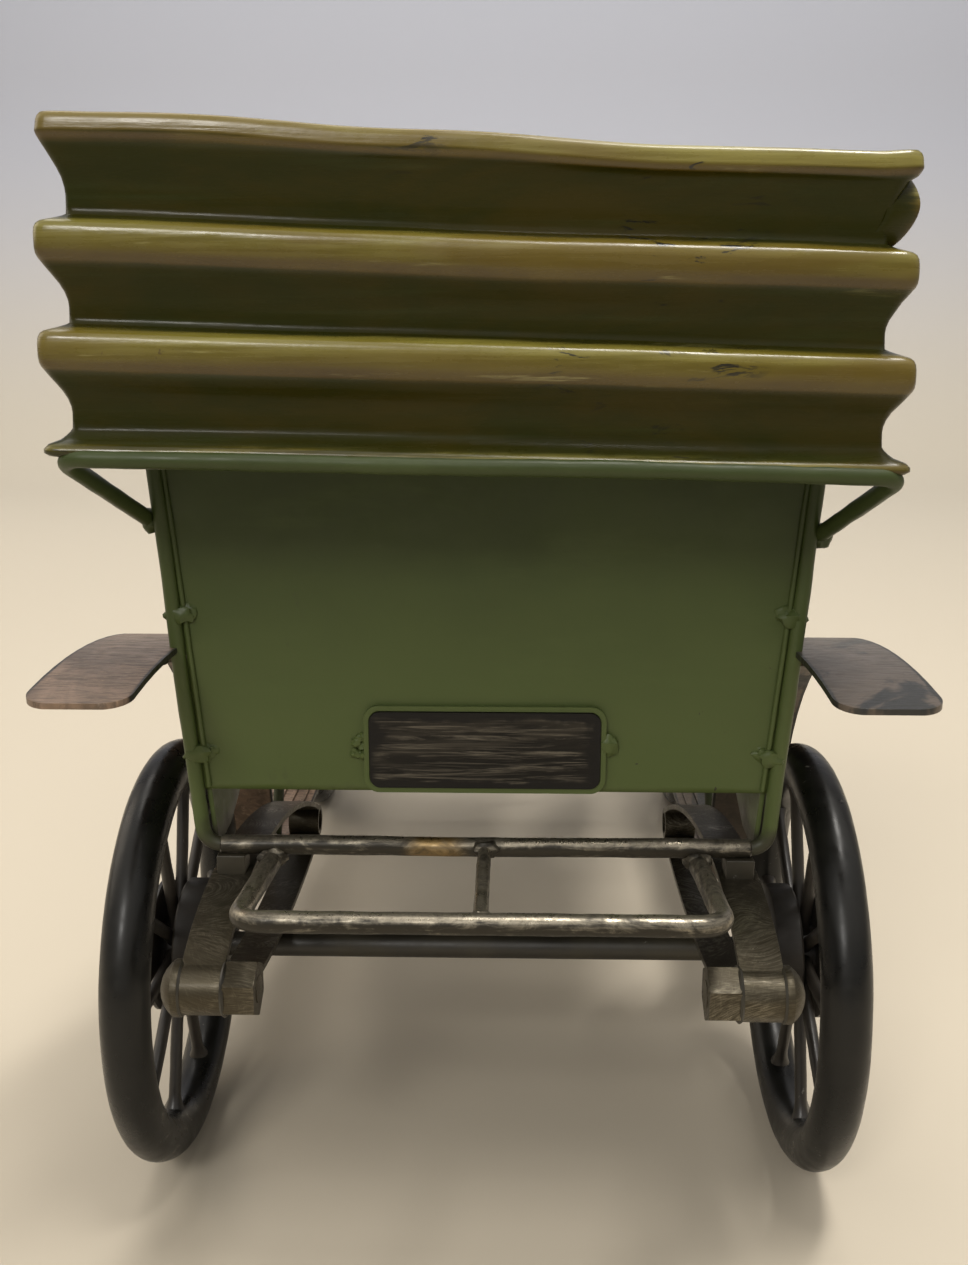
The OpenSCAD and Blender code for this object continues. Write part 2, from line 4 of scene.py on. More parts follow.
import bmesh
import bpy
from mathutils import Matrix, Vector, noise


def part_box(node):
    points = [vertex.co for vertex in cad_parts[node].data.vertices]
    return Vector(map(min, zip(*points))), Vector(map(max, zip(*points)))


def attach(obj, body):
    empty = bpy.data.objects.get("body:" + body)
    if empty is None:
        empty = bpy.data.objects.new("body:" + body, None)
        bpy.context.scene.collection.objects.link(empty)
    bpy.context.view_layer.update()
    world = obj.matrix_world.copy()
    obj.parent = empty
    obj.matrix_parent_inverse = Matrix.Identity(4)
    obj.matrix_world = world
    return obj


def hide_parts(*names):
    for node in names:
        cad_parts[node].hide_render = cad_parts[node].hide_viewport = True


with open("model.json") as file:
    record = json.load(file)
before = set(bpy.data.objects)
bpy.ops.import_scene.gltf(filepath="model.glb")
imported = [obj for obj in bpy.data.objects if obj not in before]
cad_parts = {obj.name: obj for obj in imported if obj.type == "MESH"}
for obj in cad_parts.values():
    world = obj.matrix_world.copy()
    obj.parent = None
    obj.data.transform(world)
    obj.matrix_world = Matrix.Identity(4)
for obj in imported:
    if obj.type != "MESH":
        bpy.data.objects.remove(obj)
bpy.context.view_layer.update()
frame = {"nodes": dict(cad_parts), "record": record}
nodes = frame["nodes"]
MM = 0.001
BRAZE_X = 8 * MM               # a brassy braze on the cross bar, this far left of the middle,
BRAZE_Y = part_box("rear_cross_bar")[0].y - 1 * MM   # and from the bar forward, so not on the rack

# ---------------- shader graphs


class Graph:
    """A material's node tree, with short calls for the nodes that the finishes share."""

    def __init__(self, name):
        self.mat = bpy.data.materials.new(name)
        self.mat.use_nodes = True
        self.tree = self.mat.node_tree
        self.tree.nodes.clear()
        self.shader = self.tree.nodes.new("ShaderNodeBsdfPrincipled")
        out = self.tree.nodes.new("ShaderNodeOutputMaterial")
        self.tree.links.new(self.shader.outputs[0], out.inputs[0])
        self.coords = self.tree.nodes.new("ShaderNodeTexCoord").outputs["Object"]

    def put(self, socket, value):
        if isinstance(value, bpy.types.NodeSocket):
            self.tree.links.new(value, socket)
        elif value is not None:
            socket.default_value = value

    def mapping(self, scale, turn=(0, 0, 0)):
        node = self.tree.nodes.new("ShaderNodeMapping")
        self.put(node.inputs["Vector"], self.coords)
        node.inputs["Scale"].default_value = scale
        node.inputs["Rotation"].default_value = turn
        return node.outputs[0]

    def noise(self, scale, detail=4, rough=0.55, distort=0, turn=(0, 0, 0)):
        """Noise; scale is a number or three, in cycles per metre."""
        scale = scale if isinstance(scale, tuple) else (scale,) * 3
        node = self.tree.nodes.new("ShaderNodeTexNoise")
        self.put(node.inputs["Vector"], self.mapping(scale, turn))
        node.inputs["Scale"].default_value = 1
        node.inputs["Detail"].default_value = detail
        node.inputs["Roughness"].default_value = rough
        node.inputs["Distortion"].default_value = distort
        return node.outputs["Fac"]

    def ramp(self, value, low, high, dark=0.0, light=1.0):
        """value taken from low..high to dark..light, with smooth ends."""
        node = self.tree.nodes.new("ShaderNodeMapRange")
        node.interpolation_type = "SMOOTHSTEP"
        self.put(node.inputs["Value"], value)
        for name, number in (("From Min", low), ("From Max", high), ("To Min", dark), ("To Max", light)):
            node.inputs[name].default_value = number
        return node.outputs[0]

    def math(self, kind, a, b=None, clamp=False):
        node = self.tree.nodes.new("ShaderNodeMath")
        node.operation = kind
        node.use_clamp = clamp
        self.put(node.inputs[0], a)
        self.put(node.inputs[1], b)
        return node.outputs[0]

    def mix(self, factor, a, b):
        node = self.tree.nodes.new("ShaderNodeMix")
        node.data_type = "RGBA"
        self.put(node.inputs["Factor"], factor)
        for socket, value in ((node.inputs[6], a), (node.inputs[7], b)):
            self.put(socket, value if isinstance(value, bpy.types.NodeSocket) else (*value, 1))
        return node.outputs[2]

    def attribute(self, name):
        node = self.tree.nodes.new("ShaderNodeAttribute")
        node.attribute_name = name
        return node.outputs["Fac"]

    def facing(self, axis):
        """How far the surface's normal points along a row axis, -1 to 1."""
        geometry = self.tree.nodes.new("ShaderNodeNewGeometry")
        split = self.tree.nodes.new("ShaderNodeSeparateXYZ")
        self.put(split.inputs[0], geometry.outputs["Normal"])
        return split.outputs[axis]

    def place(self, axis):
        split = self.tree.nodes.new("ShaderNodeSeparateXYZ")
        self.put(split.inputs[0], self.coords)
        return split.outputs[axis]

    def bump(self, height, strength, distance, under=None):
        node = self.tree.nodes.new("ShaderNodeBump")
        node.inputs["Strength"].default_value = strength
        node.inputs["Distance"].default_value = distance
        self.put(node.inputs["Height"], height)
        self.put(node.inputs["Normal"], under)
        return node.outputs[0]

    def done(self, color, rough, normal=None, metal=0.0, coat=0.0, coat_rough=0.2, **sockets):
        shader = self.shader
        self.put(shader.inputs["Base Color"],
                 color if isinstance(color, bpy.types.NodeSocket) else (*color, 1))
        self.put(shader.inputs["Roughness"], rough)
        self.put(shader.inputs["Metallic"], metal)
        self.put(shader.inputs["Normal"], normal)
        shader.inputs["Coat Weight"].default_value = coat
        shader.inputs["Coat Roughness"].default_value = coat_rough
        for name, value in sockets.items():
            shader.inputs[name.replace("_", " ")].default_value = value
        return self.mat


def enamel(name, deep, mid, worn, streaks, floor_bounce_light=None):
    """Hand-brushed enamel: cloudy tone, brush lines, soot near ledges, specks worn down to the metal, and,
    with floor_bounce_light, painted light that makes the paint lighter towards the rear panel's foot, with
    a darker ragged band at the foot itself.
    """
    g = Graph(name)
    gloss, grime = 0.42, (0.03, 0.028, 0.018)
    cloud = g.ramp(g.noise(38, 5, 0.6), 0.3, 0.72)
    lines = g.noise(streaks, 5, 0.62)
    tone = g.mix(cloud, deep, mid)
    tone = g.mix(g.ramp(lines, 0.52, 0.78, 0, 0.4), tone, worn)
    if floor_bounce_light:
        low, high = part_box("rear_panel")
        bar_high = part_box("rear_cross_bar")[1]
        # Painted light: the green turns lighter towards the rear panel's foot, standing in for light
        # bounced up from the floor.
        tone = g.mix(g.ramp(g.place(2), high.z, low.z, 0, 0.9), tone, floor_bounce_light)
        # Darker in a ragged band at the rear panel's foot, from a little above the cross bar's top
        # downwards.
        ragged = g.math("ADD", g.place(2), g.ramp(g.noise(180, 3), 0.3, 0.7, -1.2 * MM, 1.2 * MM))
        dark_foot_band = g.ramp(ragged, bar_high.z + 3.2 * MM, bar_high.z - 0.6 * MM, 0, 0.92)
        tone = g.mix(dark_foot_band, tone, (0.03, 0.027, 0.018))
    soot = g.ramp(g.noise(95, 6, 0.7, 0.6), 0.6, 0.8, 0, 0.55)
    tone = g.mix(soot, tone, grime)
    chips = g.ramp(g.noise(420, 3, 0.5, 0.4), 0.73, 0.76)
    tone = g.mix(g.math("MULTIPLY", chips, g.ramp(g.noise(22, 2), 0.5, 0.6)), tone, grime)
    rough = g.math("ADD", g.ramp(lines, 0.3, 0.7, gloss - 0.07, gloss + 0.1),
                   g.ramp(g.noise(260, 4), 0.3, 0.7, -0.05, 0.06))
    normal = g.bump(lines, 0.35, 0.0002)
    normal = g.bump(g.noise(700, 3), 0.25, 0.00008, normal)
    normal = g.bump(g.noise(55, 2), 0.5, 0.0006, normal)
    return g.done(tone, rough, normal, Specular_IOR_Level=0.3)


def rubbed_iron(name, black, steel, top_highlight_share):
    """Blackened steel rubbed bright in fine smears along and across the rod, with a painted highlight:
    more bright steel where the surface faces up.
    """
    g = Graph(name)
    gloss = 0.33
    mottle = g.noise((210, 150, 420), 6, 0.7, 0.9)
    smear = g.noise((60, 60, 900), 4, 0.65, 0.4)
    # Painted highlight: the bright steel is pushed up where the surface faces up, as if lit from above;
    # the smears below are the real wear.
    lit = g.math("MULTIPLY", g.ramp(g.facing(2), -0.2, 0.85), top_highlight_share)
    cloudy = g.math("MULTIPLY", g.math("ADD", mottle, smear), 0.5)
    wear_and_highlight = g.math("ADD", cloudy, g.math("MULTIPLY", lit, 0.22))
    mask = g.ramp(wear_and_highlight, 0.5, 0.74)
    fine = g.noise(1100, 4, 0.6)
    tone = g.mix(mask, black, steel)
    tone = g.mix(g.ramp(fine, 0.5, 0.75, 0, 0.5), tone, black)
    brazed = g.ramp(g.math("ABSOLUTE", g.math("ADD", g.place(0), BRAZE_X)), 6 * MM, 1.5 * MM, 0, 0.9)
    brazed = g.math("MULTIPLY", brazed, g.ramp(g.place(1), BRAZE_Y, BRAZE_Y + 2 * MM))
    tone = g.mix(g.math("MULTIPLY", brazed, g.ramp(mottle, 0.35, 0.6, 0.2, 1)), tone, (0.30, 0.19, 0.06))
    rough = g.math("ADD", g.ramp(mask, 0, 1, gloss + 0.12, gloss - 0.05),
                   g.ramp(fine, 0.3, 0.7, -0.05, 0.08))
    normal = g.bump(mottle, 0.3, 0.00015)
    normal = g.bump(fine, 0.3, 0.00005, normal)
    return g.done(tone, rough, normal, metal=g.ramp(mask, 0, 1, 0.5, 0.95), coat=0.08)


def hand_brushed(name, dark, light, tint):
    """Steel strip sanded by hand: fine curved scratches over a dark, uneven patina."""
    g = Graph(name)
    gloss = 0.3
    warp = g.tree.nodes.new("ShaderNodeVectorMath")
    warp.operation = "MULTIPLY_ADD"
    drift = g.tree.nodes.new("ShaderNodeTexNoise")
    g.put(drift.inputs["Vector"], g.mapping((38, 38, 38)))
    drift.inputs["Scale"].default_value = 1
    drift.inputs["Detail"].default_value = 1
    g.put(warp.inputs[0], drift.outputs["Color"])
    warp.inputs[1].default_value = (0.03, 0.03, 0.03)
    g.put(warp.inputs[2], g.coords)
    plain, g.coords = g.coords, warp.outputs[0]
    lines = g.noise((500, 500, 6500), 4, 0.6, 0, turn=(0.9, 0.35, 0))
    hairs = g.noise((4200, 600, 600), 3, 0.6, 0, turn=(0.2, 0.9, 0.5))
    g.coords = plain
    patina = g.ramp(g.noise(85, 6, 0.65, 0.4), 0.36, 0.66)
    bright = g.math("MULTIPLY", g.ramp(lines, 0.36, 0.78), g.ramp(patina, 0, 1, 0.12, 1))
    bright = g.math("ADD", bright, g.ramp(hairs, 0.5, 0.8, 0, 0.2), clamp=True)
    tone = g.mix(bright, dark, light)
    tone = g.mix(g.ramp(g.noise(34, 3), 0.45, 0.7, 0, 0.5), tone, tint)
    rough = g.math("ADD", g.ramp(bright, 0, 1, gloss + 0.14, gloss - 0.06),
                   g.ramp(hairs, 0.3, 0.7, -0.04, 0.06))
    normal = g.bump(lines, 0.4, 0.00005)
    normal = g.bump(g.noise(160, 4), 0.3, 0.00015, normal)
    return g.done(tone, rough, normal, metal=0.8, coat=0.05)


def guard_bronze():
    """Bronze wash dragged along the mudguard with a dry brush; dark worn border and corners; painted shade
    that makes the right mudguard darker all over.
    """
    g = Graph("bronze_sheet")
    low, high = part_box("rear_mudguard_right")
    middle, half = (low.x + high.x) / 2, (high.x - low.x) / 2
    across = g.math("ABSOLUTE", g.math("SUBTRACT", g.math("ABSOLUTE", g.place(0)), middle))
    border = g.ramp(across, half * 0.9, half * 0.995)
    drag = g.noise((260, 1500, 260), 5, 0.68, 0.8, turn=(0, 0, 0.5))
    fine = g.noise((500, 3200, 500), 4, 0.65, 0.4, turn=(0, 0, 0.35))
    patch = g.noise((60, 35, 35), 5, 0.7, 0.7)
    tone = g.mix(g.ramp(patch, 0.32, 0.62), (0.15, 0.105, 0.075), (0.30, 0.205, 0.145))
    tone = g.mix(g.ramp(drag, 0.42, 0.66, 0, 0.75), tone, (0.085, 0.065, 0.05))
    tone = g.mix(g.ramp(fine, 0.55, 0.7, 0, 0.5), tone, (0.42, 0.31, 0.22))
    # Painted shade: the right mudguard (x above 0) is darker all over, as if it stood in shade, and gets a
    # few more scrapes.
    right = g.ramp(g.place(0), 0.0, 0.01)
    tone = g.mix(g.math("MULTIPLY", right, 0.8), tone, (0.07, 0.062, 0.052))
    worn = g.math("ADD", g.math("MULTIPLY", border, 0.25), g.math("MULTIPLY", right, 0.07))
    scrape = g.ramp(g.math("ADD", patch, worn), 0.6, 0.68)
    tone = g.mix(scrape, tone, (0.03, 0.03, 0.028))
    tone = g.mix(g.math("MULTIPLY", border, 0.85), tone, (0.035, 0.032, 0.028))
    rough = g.math("ADD", g.ramp(drag, 0.3, 0.7, 0.36, 0.55), g.ramp(fine, 0.3, 0.7, -0.05, 0.05))
    normal = g.bump(drag, 0.4, 0.00012)
    normal = g.bump(g.noise(60, 2), 0.4, 0.0005, normal)
    return g.done(tone, rough, normal, metal=0.45, coat=0.08)


def hood_paint():
    """Olive paint with painted light: yellow olive on the pleats' noses as if lit, gold on their tops and
    brown on their undersides, and painted shade, dark olive, in the valleys between, with brush lines and
    scuffs.
    """
    g = Graph("hood_olive")
    crest = g.attribute("crest")
    lines = g.noise((40, 40, 900), 5, 0.62, 0.2)
    cloud = g.noise((22, 22, 60), 5, 0.65, 0.4)
    # Painted light: the noses (crest 1) get the yellow olive of a lit nose, the valleys between them the
    # dark olive of painted shade.
    edge = g.math("ADD", crest, g.ramp(lines, 0.3, 0.7, -0.12, 0.12))
    mask = g.ramp(edge, 0.35, 0.75)
    green = g.mix(g.ramp(cloud, 0.35, 0.65), (0.02, 0.022, 0.003), (0.034, 0.027, 0.003))
    green = g.mix(g.ramp(g.noise((18, 18, 400), 4, 0.6), 0.5, 0.75, 0, 0.5), green, (0.032, 0.04, 0.012))
    # Painted light: on a nose, lighter gold where it faces up and browner where it faces down.
    upper = g.ramp(g.facing(2), -0.3, 0.25)
    shaded_nose_tone = g.mix(g.ramp(cloud, 0.3, 0.7), (0.045, 0.026, 0.001), (0.075, 0.05, 0.002))
    lit_nose_tone = g.mix(g.ramp(lines, 0.35, 0.65), (0.13, 0.11, 0.014), (0.19, 0.165, 0.03))
    browned = g.ramp(g.noise((14, 14, 90), 3, 0.6, 0.5), 0.42, 0.6, 0, 0.7)
    lit_nose_tone = g.mix(browned, lit_nose_tone, (0.105, 0.066, 0.006))
    tone = g.mix(mask, green, g.mix(upper, shaded_nose_tone, lit_nose_tone))
    rubbed = g.math("MULTIPLY", g.ramp(g.noise((50, 50, 700), 4, 0.6), 0.62, 0.74, 0, 0.5), crest)
    tone = g.mix(rubbed, tone, (0.34, 0.31, 0.13))
    scuff = g.ramp(g.noise((90, 90, 330), 5, 0.7, 1.2), 0.6, 0.64)
    scuff = g.math("MULTIPLY", scuff, g.ramp(g.noise(21, 2), 0.53, 0.6))
    tone = g.mix(scuff, tone, (0.008, 0.008, 0.006))
    speck = g.ramp(g.noise(520, 3, 0.6), 0.72, 0.76, 0, 0.7)
    tone = g.mix(g.math("MULTIPLY", speck, crest), tone, (0.05, 0.03, 0.01))
    rough = g.math("ADD", g.ramp(lines, 0.3, 0.7, 0.2, 0.32),
                   g.ramp(g.noise(240, 4), 0.3, 0.7, -0.03, 0.05))
    normal = g.bump(lines, 0.3, 0.00012)
    normal = g.bump(g.noise((120, 120, 240), 4), 0.3, 0.0002, normal)
    g.put(g.shader.inputs["Specular IOR Level"], g.ramp(crest, 0.1, 0.9, 0.12, 0.55))
    return g.done(tone, rough, normal)


def plate_paint():
    """Black blank plate with grey dry-brush streaks along its length and a darker ragged border."""
    g = Graph("plate_black")
    streak = g.noise((55, 55, 1000), 6, 0.68, 1.2, turn=(0, 0.12, 0))
    sweep = g.noise((24, 24, 110), 4, 0.6, 1.0, turn=(0, -0.3, 0))
    tone = g.mix(g.ramp(streak, 0.45, 0.68), (0.005, 0.0045, 0.0035), (0.12, 0.105, 0.08))
    tone = g.mix(g.ramp(sweep, 0.48, 0.62, 0, 0.5), tone, (0.04, 0.034, 0.025))
    low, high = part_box("number_plate")
    ragged = g.ramp(g.noise(190, 3), 0.3, 0.7, -0.08, 0.08)
    wide = g.math("ABSOLUTE", g.math("DIVIDE", g.place(0), high.x))
    rim_x = g.ramp(g.math("ADD", wide, ragged), 0.84, 0.94)
    middle, half = (low.z + high.z) / 2, (high.z - low.z) / 2
    tall = g.math("ABSOLUTE", g.math("DIVIDE", g.math("SUBTRACT", g.place(2), middle), half))
    rim_z = g.ramp(g.math("ADD", tall, ragged), 0.74, 0.88)
    tone = g.mix(g.math("MAXIMUM", rim_x, rim_z), tone, (0.006, 0.0055, 0.005))
    rough = g.ramp(streak, 0.3, 0.7, 0.28, 0.46)
    normal = g.bump(streak, 0.5, 0.0002)
    normal = g.bump(g.noise(90, 4), 0.4, 0.0004, normal)
    return g.done(tone, rough, normal, Specular_IOR_Level=0.22)


def black_satin(name, tone_a, tone_b, gloss, shine=0.5):
    """Satin black with faint grey dust, specular scuffs and a slightly lumpy skin."""
    g = Graph(name)
    dust = g.noise(45, 5, 0.65, 0.3)
    tone = g.mix(g.ramp(dust, 0.35, 0.75), tone_a, tone_b)
    mark = g.ramp(g.noise(240, 5, 0.75, 1.6), 0.64, 0.69)
    mark = g.math("MULTIPLY", mark, g.ramp(g.noise(24, 2), 0.5, 0.6, 0, 0.8))
    tone = g.mix(mark, tone, (0.16, 0.155, 0.14))
    rough = g.math("ADD", g.ramp(dust, 0.3, 0.7, gloss - 0.06, gloss + 0.08),
                   g.ramp(g.noise(330, 4), 0.3, 0.7, -0.05, 0.06))
    normal = g.bump(g.noise(500, 4), 0.3, 0.00008)
    normal = g.bump(g.noise(70, 3), 0.5, 0.0003, normal)
    return g.done(tone, rough, normal, Specular_IOR_Level=shine)


def aged_brass():
    g = Graph("aged_brass")
    patina = g.noise(80, 6, 0.7, 0.6)
    tone = g.mix(g.ramp(patina, 0.35, 0.7), (0.19, 0.11, 0.035), (0.50, 0.33, 0.11))
    tone = g.mix(g.ramp(g.noise(210, 5, 0.7), 0.58, 0.72, 0, 0.6), tone, (0.06, 0.055, 0.03))
    rough = g.math("ADD", g.ramp(patina, 0.3, 0.7, 0.42, 0.24),
                   g.ramp(g.noise(600, 3), 0.3, 0.7, -0.03, 0.05))
    normal = g.bump(g.noise(340, 4), 0.3, 0.00008)
    return g.done(tone, rough, normal, metal=0.95)


def seat_paint():
    """Oxblood-brown paint on pressed sheet, made lighter on the rolls by a painted highlight and dark in
    the grooves by painted shade, unevenly.
    """
    g = Graph("seat_brown")
    grain = g.noise(650, 5, 0.6)
    # Painted light: crest is 1 on the rolls and 0 in the grooves, so the rolls get the lighter brown and
    # the grooves the dark one; noise makes it uneven.
    worn = g.math("ADD", g.attribute("crest"), g.ramp(g.noise(60, 5, 0.7), 0.3, 0.7, -0.4, 0.3))
    tone = g.mix(g.ramp(worn, 0.1, 0.9), (0.05, 0.022, 0.012), (0.15, 0.07, 0.035))
    tone = g.mix(g.ramp(g.noise(130, 4, 0.7), 0.62, 0.74, 0, 0.5), tone, (0.24, 0.13, 0.07))
    rough = g.math("ADD", g.ramp(worn, 0, 1, 0.5, 0.36), g.ramp(grain, 0.3, 0.7, -0.05, 0.06))
    normal = g.bump(grain, 0.35, 0.00012)
    return g.done(tone, rough, normal, coat=0.12, coat_rough=0.3)


def radiator_grid():
    """Dark core with a fine honeycomb of cells."""
    g = Graph("radiator_grey")
    cells = g.tree.nodes.new("ShaderNodeTexVoronoi")
    g.put(cells.inputs["Vector"], g.mapping((560, 1, 560)))
    cells.inputs["Scale"].default_value = 1
    cells.inputs["Randomness"].default_value = 0
    pit = g.ramp(cells.outputs["Distance"], 0.3, 0.55)
    tone = g.mix(pit, (0.012, 0.012, 0.011), (0.10, 0.085, 0.06))
    rough = g.ramp(g.noise(200, 4), 0.3, 0.7, 0.35, 0.55)
    return g.done(tone, rough, g.bump(pit, 0.7, 0.0005), metal=0.5)


def lens_glass():
    g = Graph("lens_glass")
    ribs = g.noise((900, 60, 60), 2)
    rough = g.ramp(g.noise(150, 3), 0.3, 0.7, 0.04, 0.14)
    return g.done((0.9, 0.92, 0.9), rough, g.bump(ribs, 0.3, 0.0002), Transmission_Weight=0.85, IOR=1.46)


FINISH = {
    "green_paint": enamel("green_paint", (0.028, 0.040, 0.010), (0.038, 0.053, 0.0135),
                          (0.075, 0.098, 0.034), (28, 28, 120), floor_bounce_light=(0.07, 0.095, 0.027)),
    "dark_green_paint": enamel("dark_green_paint", (0.018, 0.024, 0.01), (0.03, 0.038, 0.016),
                               (0.05, 0.06, 0.03), (90, 90, 90)),
    "steel_rod": rubbed_iron("steel_rod", (0.02, 0.017, 0.011), (0.33, 0.295, 0.23), 0.6),
    "plate_black": plate_paint(),
    "aged_brass": aged_brass(),
    "radiator_grey": radiator_grid(),
    "seat_brown": seat_paint(),
    "hood_olive": hood_paint(),
    "bronze_sheet": guard_bronze(),
    "spring_steel": hand_brushed("spring_steel", (0.045, 0.038, 0.025), (0.25, 0.225, 0.17),
                                 (0.05, 0.04, 0.022)),
    "black_iron": black_satin("black_iron", (0.014, 0.012, 0.008), (0.034, 0.029, 0.017), 0.45),
    "wheel_black": black_satin("wheel_black", (0.012, 0.010, 0.008), (0.03, 0.024, 0.018), 0.4),
    "tyre_black": black_satin("tyre_black", (0.004, 0.0042, 0.004), (0.01, 0.0095, 0.008), 0.3, 0.3),
    "wheel_rim_black": black_satin("wheel_rim_black", (0.02, 0.012, 0.007), (0.05, 0.03, 0.015), 0.35),
    "lens_glass": lens_glass(),
}
slot_of = {row["node"]: row["material_slot"] for row in frame["record"]["subparts"]}
body_of = {node: body for body, members in frame["record"]["behaviour"]["bodies"].items()
           for node in members}

# ---------------- meshes

SHARP = math.radians(38)


class Solid:
    """Vertices and faces gathered from swept shapes, then made into one object."""

    def __init__(self):
        self.verts, self.faces, self.marks = [], [], []

    def grid(self, rows, round_rows=False, round_cols=False, ends=False, marks=None):
        start, count = len(self.verts), len(rows[0])
        for i, row in enumerate(rows):
            for j, point in enumerate(row):
                self.verts.append(point)
                self.marks.append(marks[i][j] if marks else 0.0)
        last_i = len(rows) if round_rows else len(rows) - 1
        last_j = count if round_cols else count - 1
        for i in range(last_i):
            for j in range(last_j):
                a, b = i * count, (i + 1) % len(rows) * count
                k = (j + 1) % count
                self.faces.append([start + a + j, start + a + k, start + b + k, start + b + j])
        if ends:
            self.faces.append([start + j for j in range(count)][::-1])
            self.faces.append([start + (len(rows) - 1) * count + j for j in range(count)])

    def make(self, name, sharp=SHARP):
        mesh = bpy.data.meshes.new(name)
        mesh.from_pydata([tuple(v) for v in self.verts], [], self.faces)
        layer = mesh.attributes.new("crest", "FLOAT", "POINT")
        layer.data.foreach_set("value", self.marks)
        shape = bmesh.new()
        shape.from_mesh(mesh)
        bmesh.ops.remove_doubles(shape, verts=shape.verts, dist=0.000002)
        bmesh.ops.recalc_face_normals(shape, faces=shape.faces)
        for face in shape.faces:
            face.smooth = True
        for edge in shape.edges:
            edge.smooth = len(edge.link_faces) != 2 or edge.calc_face_angle() < sharp
        shape.to_mesh(mesh)
        shape.free()
        piece = bpy.data.objects.new(name, mesh)
        bpy.context.scene.collection.objects.link(piece)
        return piece


replaced = set()


def stand_for(piece, node):
    """The piece takes the node's finish and body, and hides it."""
    replaced.add(node)
    slot = slot_of[node]
    piece.data.materials.clear()
    piece.data.materials.append(FINISH[slot])
    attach(piece, body_of[node])
    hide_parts(node)


def add_detail(piece, slot, body="car"):
    piece.data.materials.append(FINISH[slot])
    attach(piece, body)


def wobble(point, scale, size, seed=0.0):
    """A small smooth offset at a place, read from a noise field that differs from run to run."""
    p = Vector(point) * scale + Vector((seed, seed * 1.7, -seed))
    return noise.noise_vector(p) * size


def round_corners(points, distance, steps=8):
    path = [Vector(points[0])]
    for a, p, b in zip(points, points[1:], points[2:]):
        a, p, b = Vector(a), Vector(p), Vector(b)
        s, e = p + (a - p).normalized() * distance, p + (b - p).normalized() * distance
        for i in range(steps + 1):
            t = i / steps
            path.append((1 - t) ** 2 * s + 2 * t * (1 - t) * p + t * t * e)
    path.append(Vector(points[-1]))
    return path


def resample(path, step):
    """The same path with points about step apart."""
    out = [path[0]]
    for a, b in zip(path, path[1:]):
        count = max(1, round((b - a).length / step))
        out += [a.lerp(b, k / count) for k in range(1, count + 1)]
    return out


def tube(solid, path, radius, sides=20, lumps=0.04, seed=0.0):
    """A round tube along a path, with rounded ends and slight hammer marks."""
    path = [p for i, p in enumerate(path) if i == 0 or (p - path[i - 1]).length > 1e-6]
    heads = [(path[min(i + 1, len(path) - 1)] - path[max(i - 1, 0)]).normalized()
             for i in range(len(path))]
    side = heads[0].orthogonal().normalized()
    rows = []
    for i, (p, t) in enumerate(zip(path, heads)):
        side = (side - t * side.dot(t)).normalized()
        up = t.cross(side)
        row = []
        for k in range(sides):
            a = 2 * math.pi * k / sides
            out = side * math.cos(a) + up * math.sin(a)
            size = radius(i / (len(path) - 1)) if callable(radius) else radius
            spot = p + out * size
            row.append(spot + out * noise.noise(spot * 260 + Vector((seed, 0, seed))) * size * lumps)
        rows.append(row)
    cap = radius(0) if callable(radius) else radius
    first = [path[0] - heads[0] * cap * 0.25 + (v - path[0]) * 0.72 for v in rows[0]]
    last = [path[-1] + heads[-1] * cap * 0.25 + (v - path[-1]) * 0.72 for v in rows[-1]]
    rows = [first] + rows + [last]
    solid.grid(rows, round_cols=True, ends=True)


def lathe(solid, outline, centre, axis, sides=48):
    """Turns (radius, distance along the axis) points round an axis through the centre."""
    axis = Vector(axis)
    side = axis.orthogonal().normalized()
    up = axis.cross(side)
    turns = [2 * math.pi * k / sides for k in range(sides)]
    rows = []
    for r, along in outline:
        r = max(r, 1e-6)
        rows.append([centre + axis * along + (side * math.cos(a) + up * math.sin(a)) * r for a in turns])
    solid.grid(rows, round_cols=True)


def blob(solid, centre, size, seed, rough=0.3):
    """A run of solder: a lumpy flattened drop."""
    rings, sides = 10, 18
    rows = []
    for i in range(rings + 1):
        polar = math.pi * i / rings
        row = []
        for k in range(sides):
            a = 2 * math.pi * k / sides
            out = Vector((math.sin(polar) * math.cos(a), math.sin(polar) * math.sin(a), math.cos(polar)))
            lump = 1 + rough * noise.noise(out * 1.6 + Vector((seed, seed * 2.3, 0)))
            row.append(Vector(centre) + Vector([out[n] * size[n] * lump for n in range(3)]))
        rows.append(row)
    solid.grid(rows, round_cols=True)


def soften(node, width):
    """Gives a CAD node its finish, small worn edges and smooth round faces."""
    piece = nodes[node]
    stored = piece.data.attributes.get("custom_normal")
    if stored:
        piece.data.attributes.remove(stored)
    weld = piece.modifiers.new("weld", "WELD")
    weld.merge_threshold = 0.00001
    bevel = piece.modifiers.new("worn_edges", "BEVEL")
    bevel.width = width
    bevel.segments = 2
    bevel.limit_method = "ANGLE"
    bevel.angle_limit = math.radians(35)
    piece.data.polygons.foreach_set("use_smooth", [True] * len(piece.data.polygons))
    smooth = piece.modifiers.new("normals", "WEIGHTED_NORMAL")
    smooth.keep_sharp = True
    piece.data.materials.clear()
    piece.data.materials.append(FINISH[slot_of[node]])


# ---------------- camera and light

# The view: behind the car, a little above it, close enough for strong perspective.
CAMERA_AT = Vector((4.1, -306.0, 149.2)) * MM
CAMERA_YAW, CAMERA_PITCH, CAMERA_ROLL = 0.022, 0.231, 0.0008
FOCAL_OVER_WIDTH = 1.326


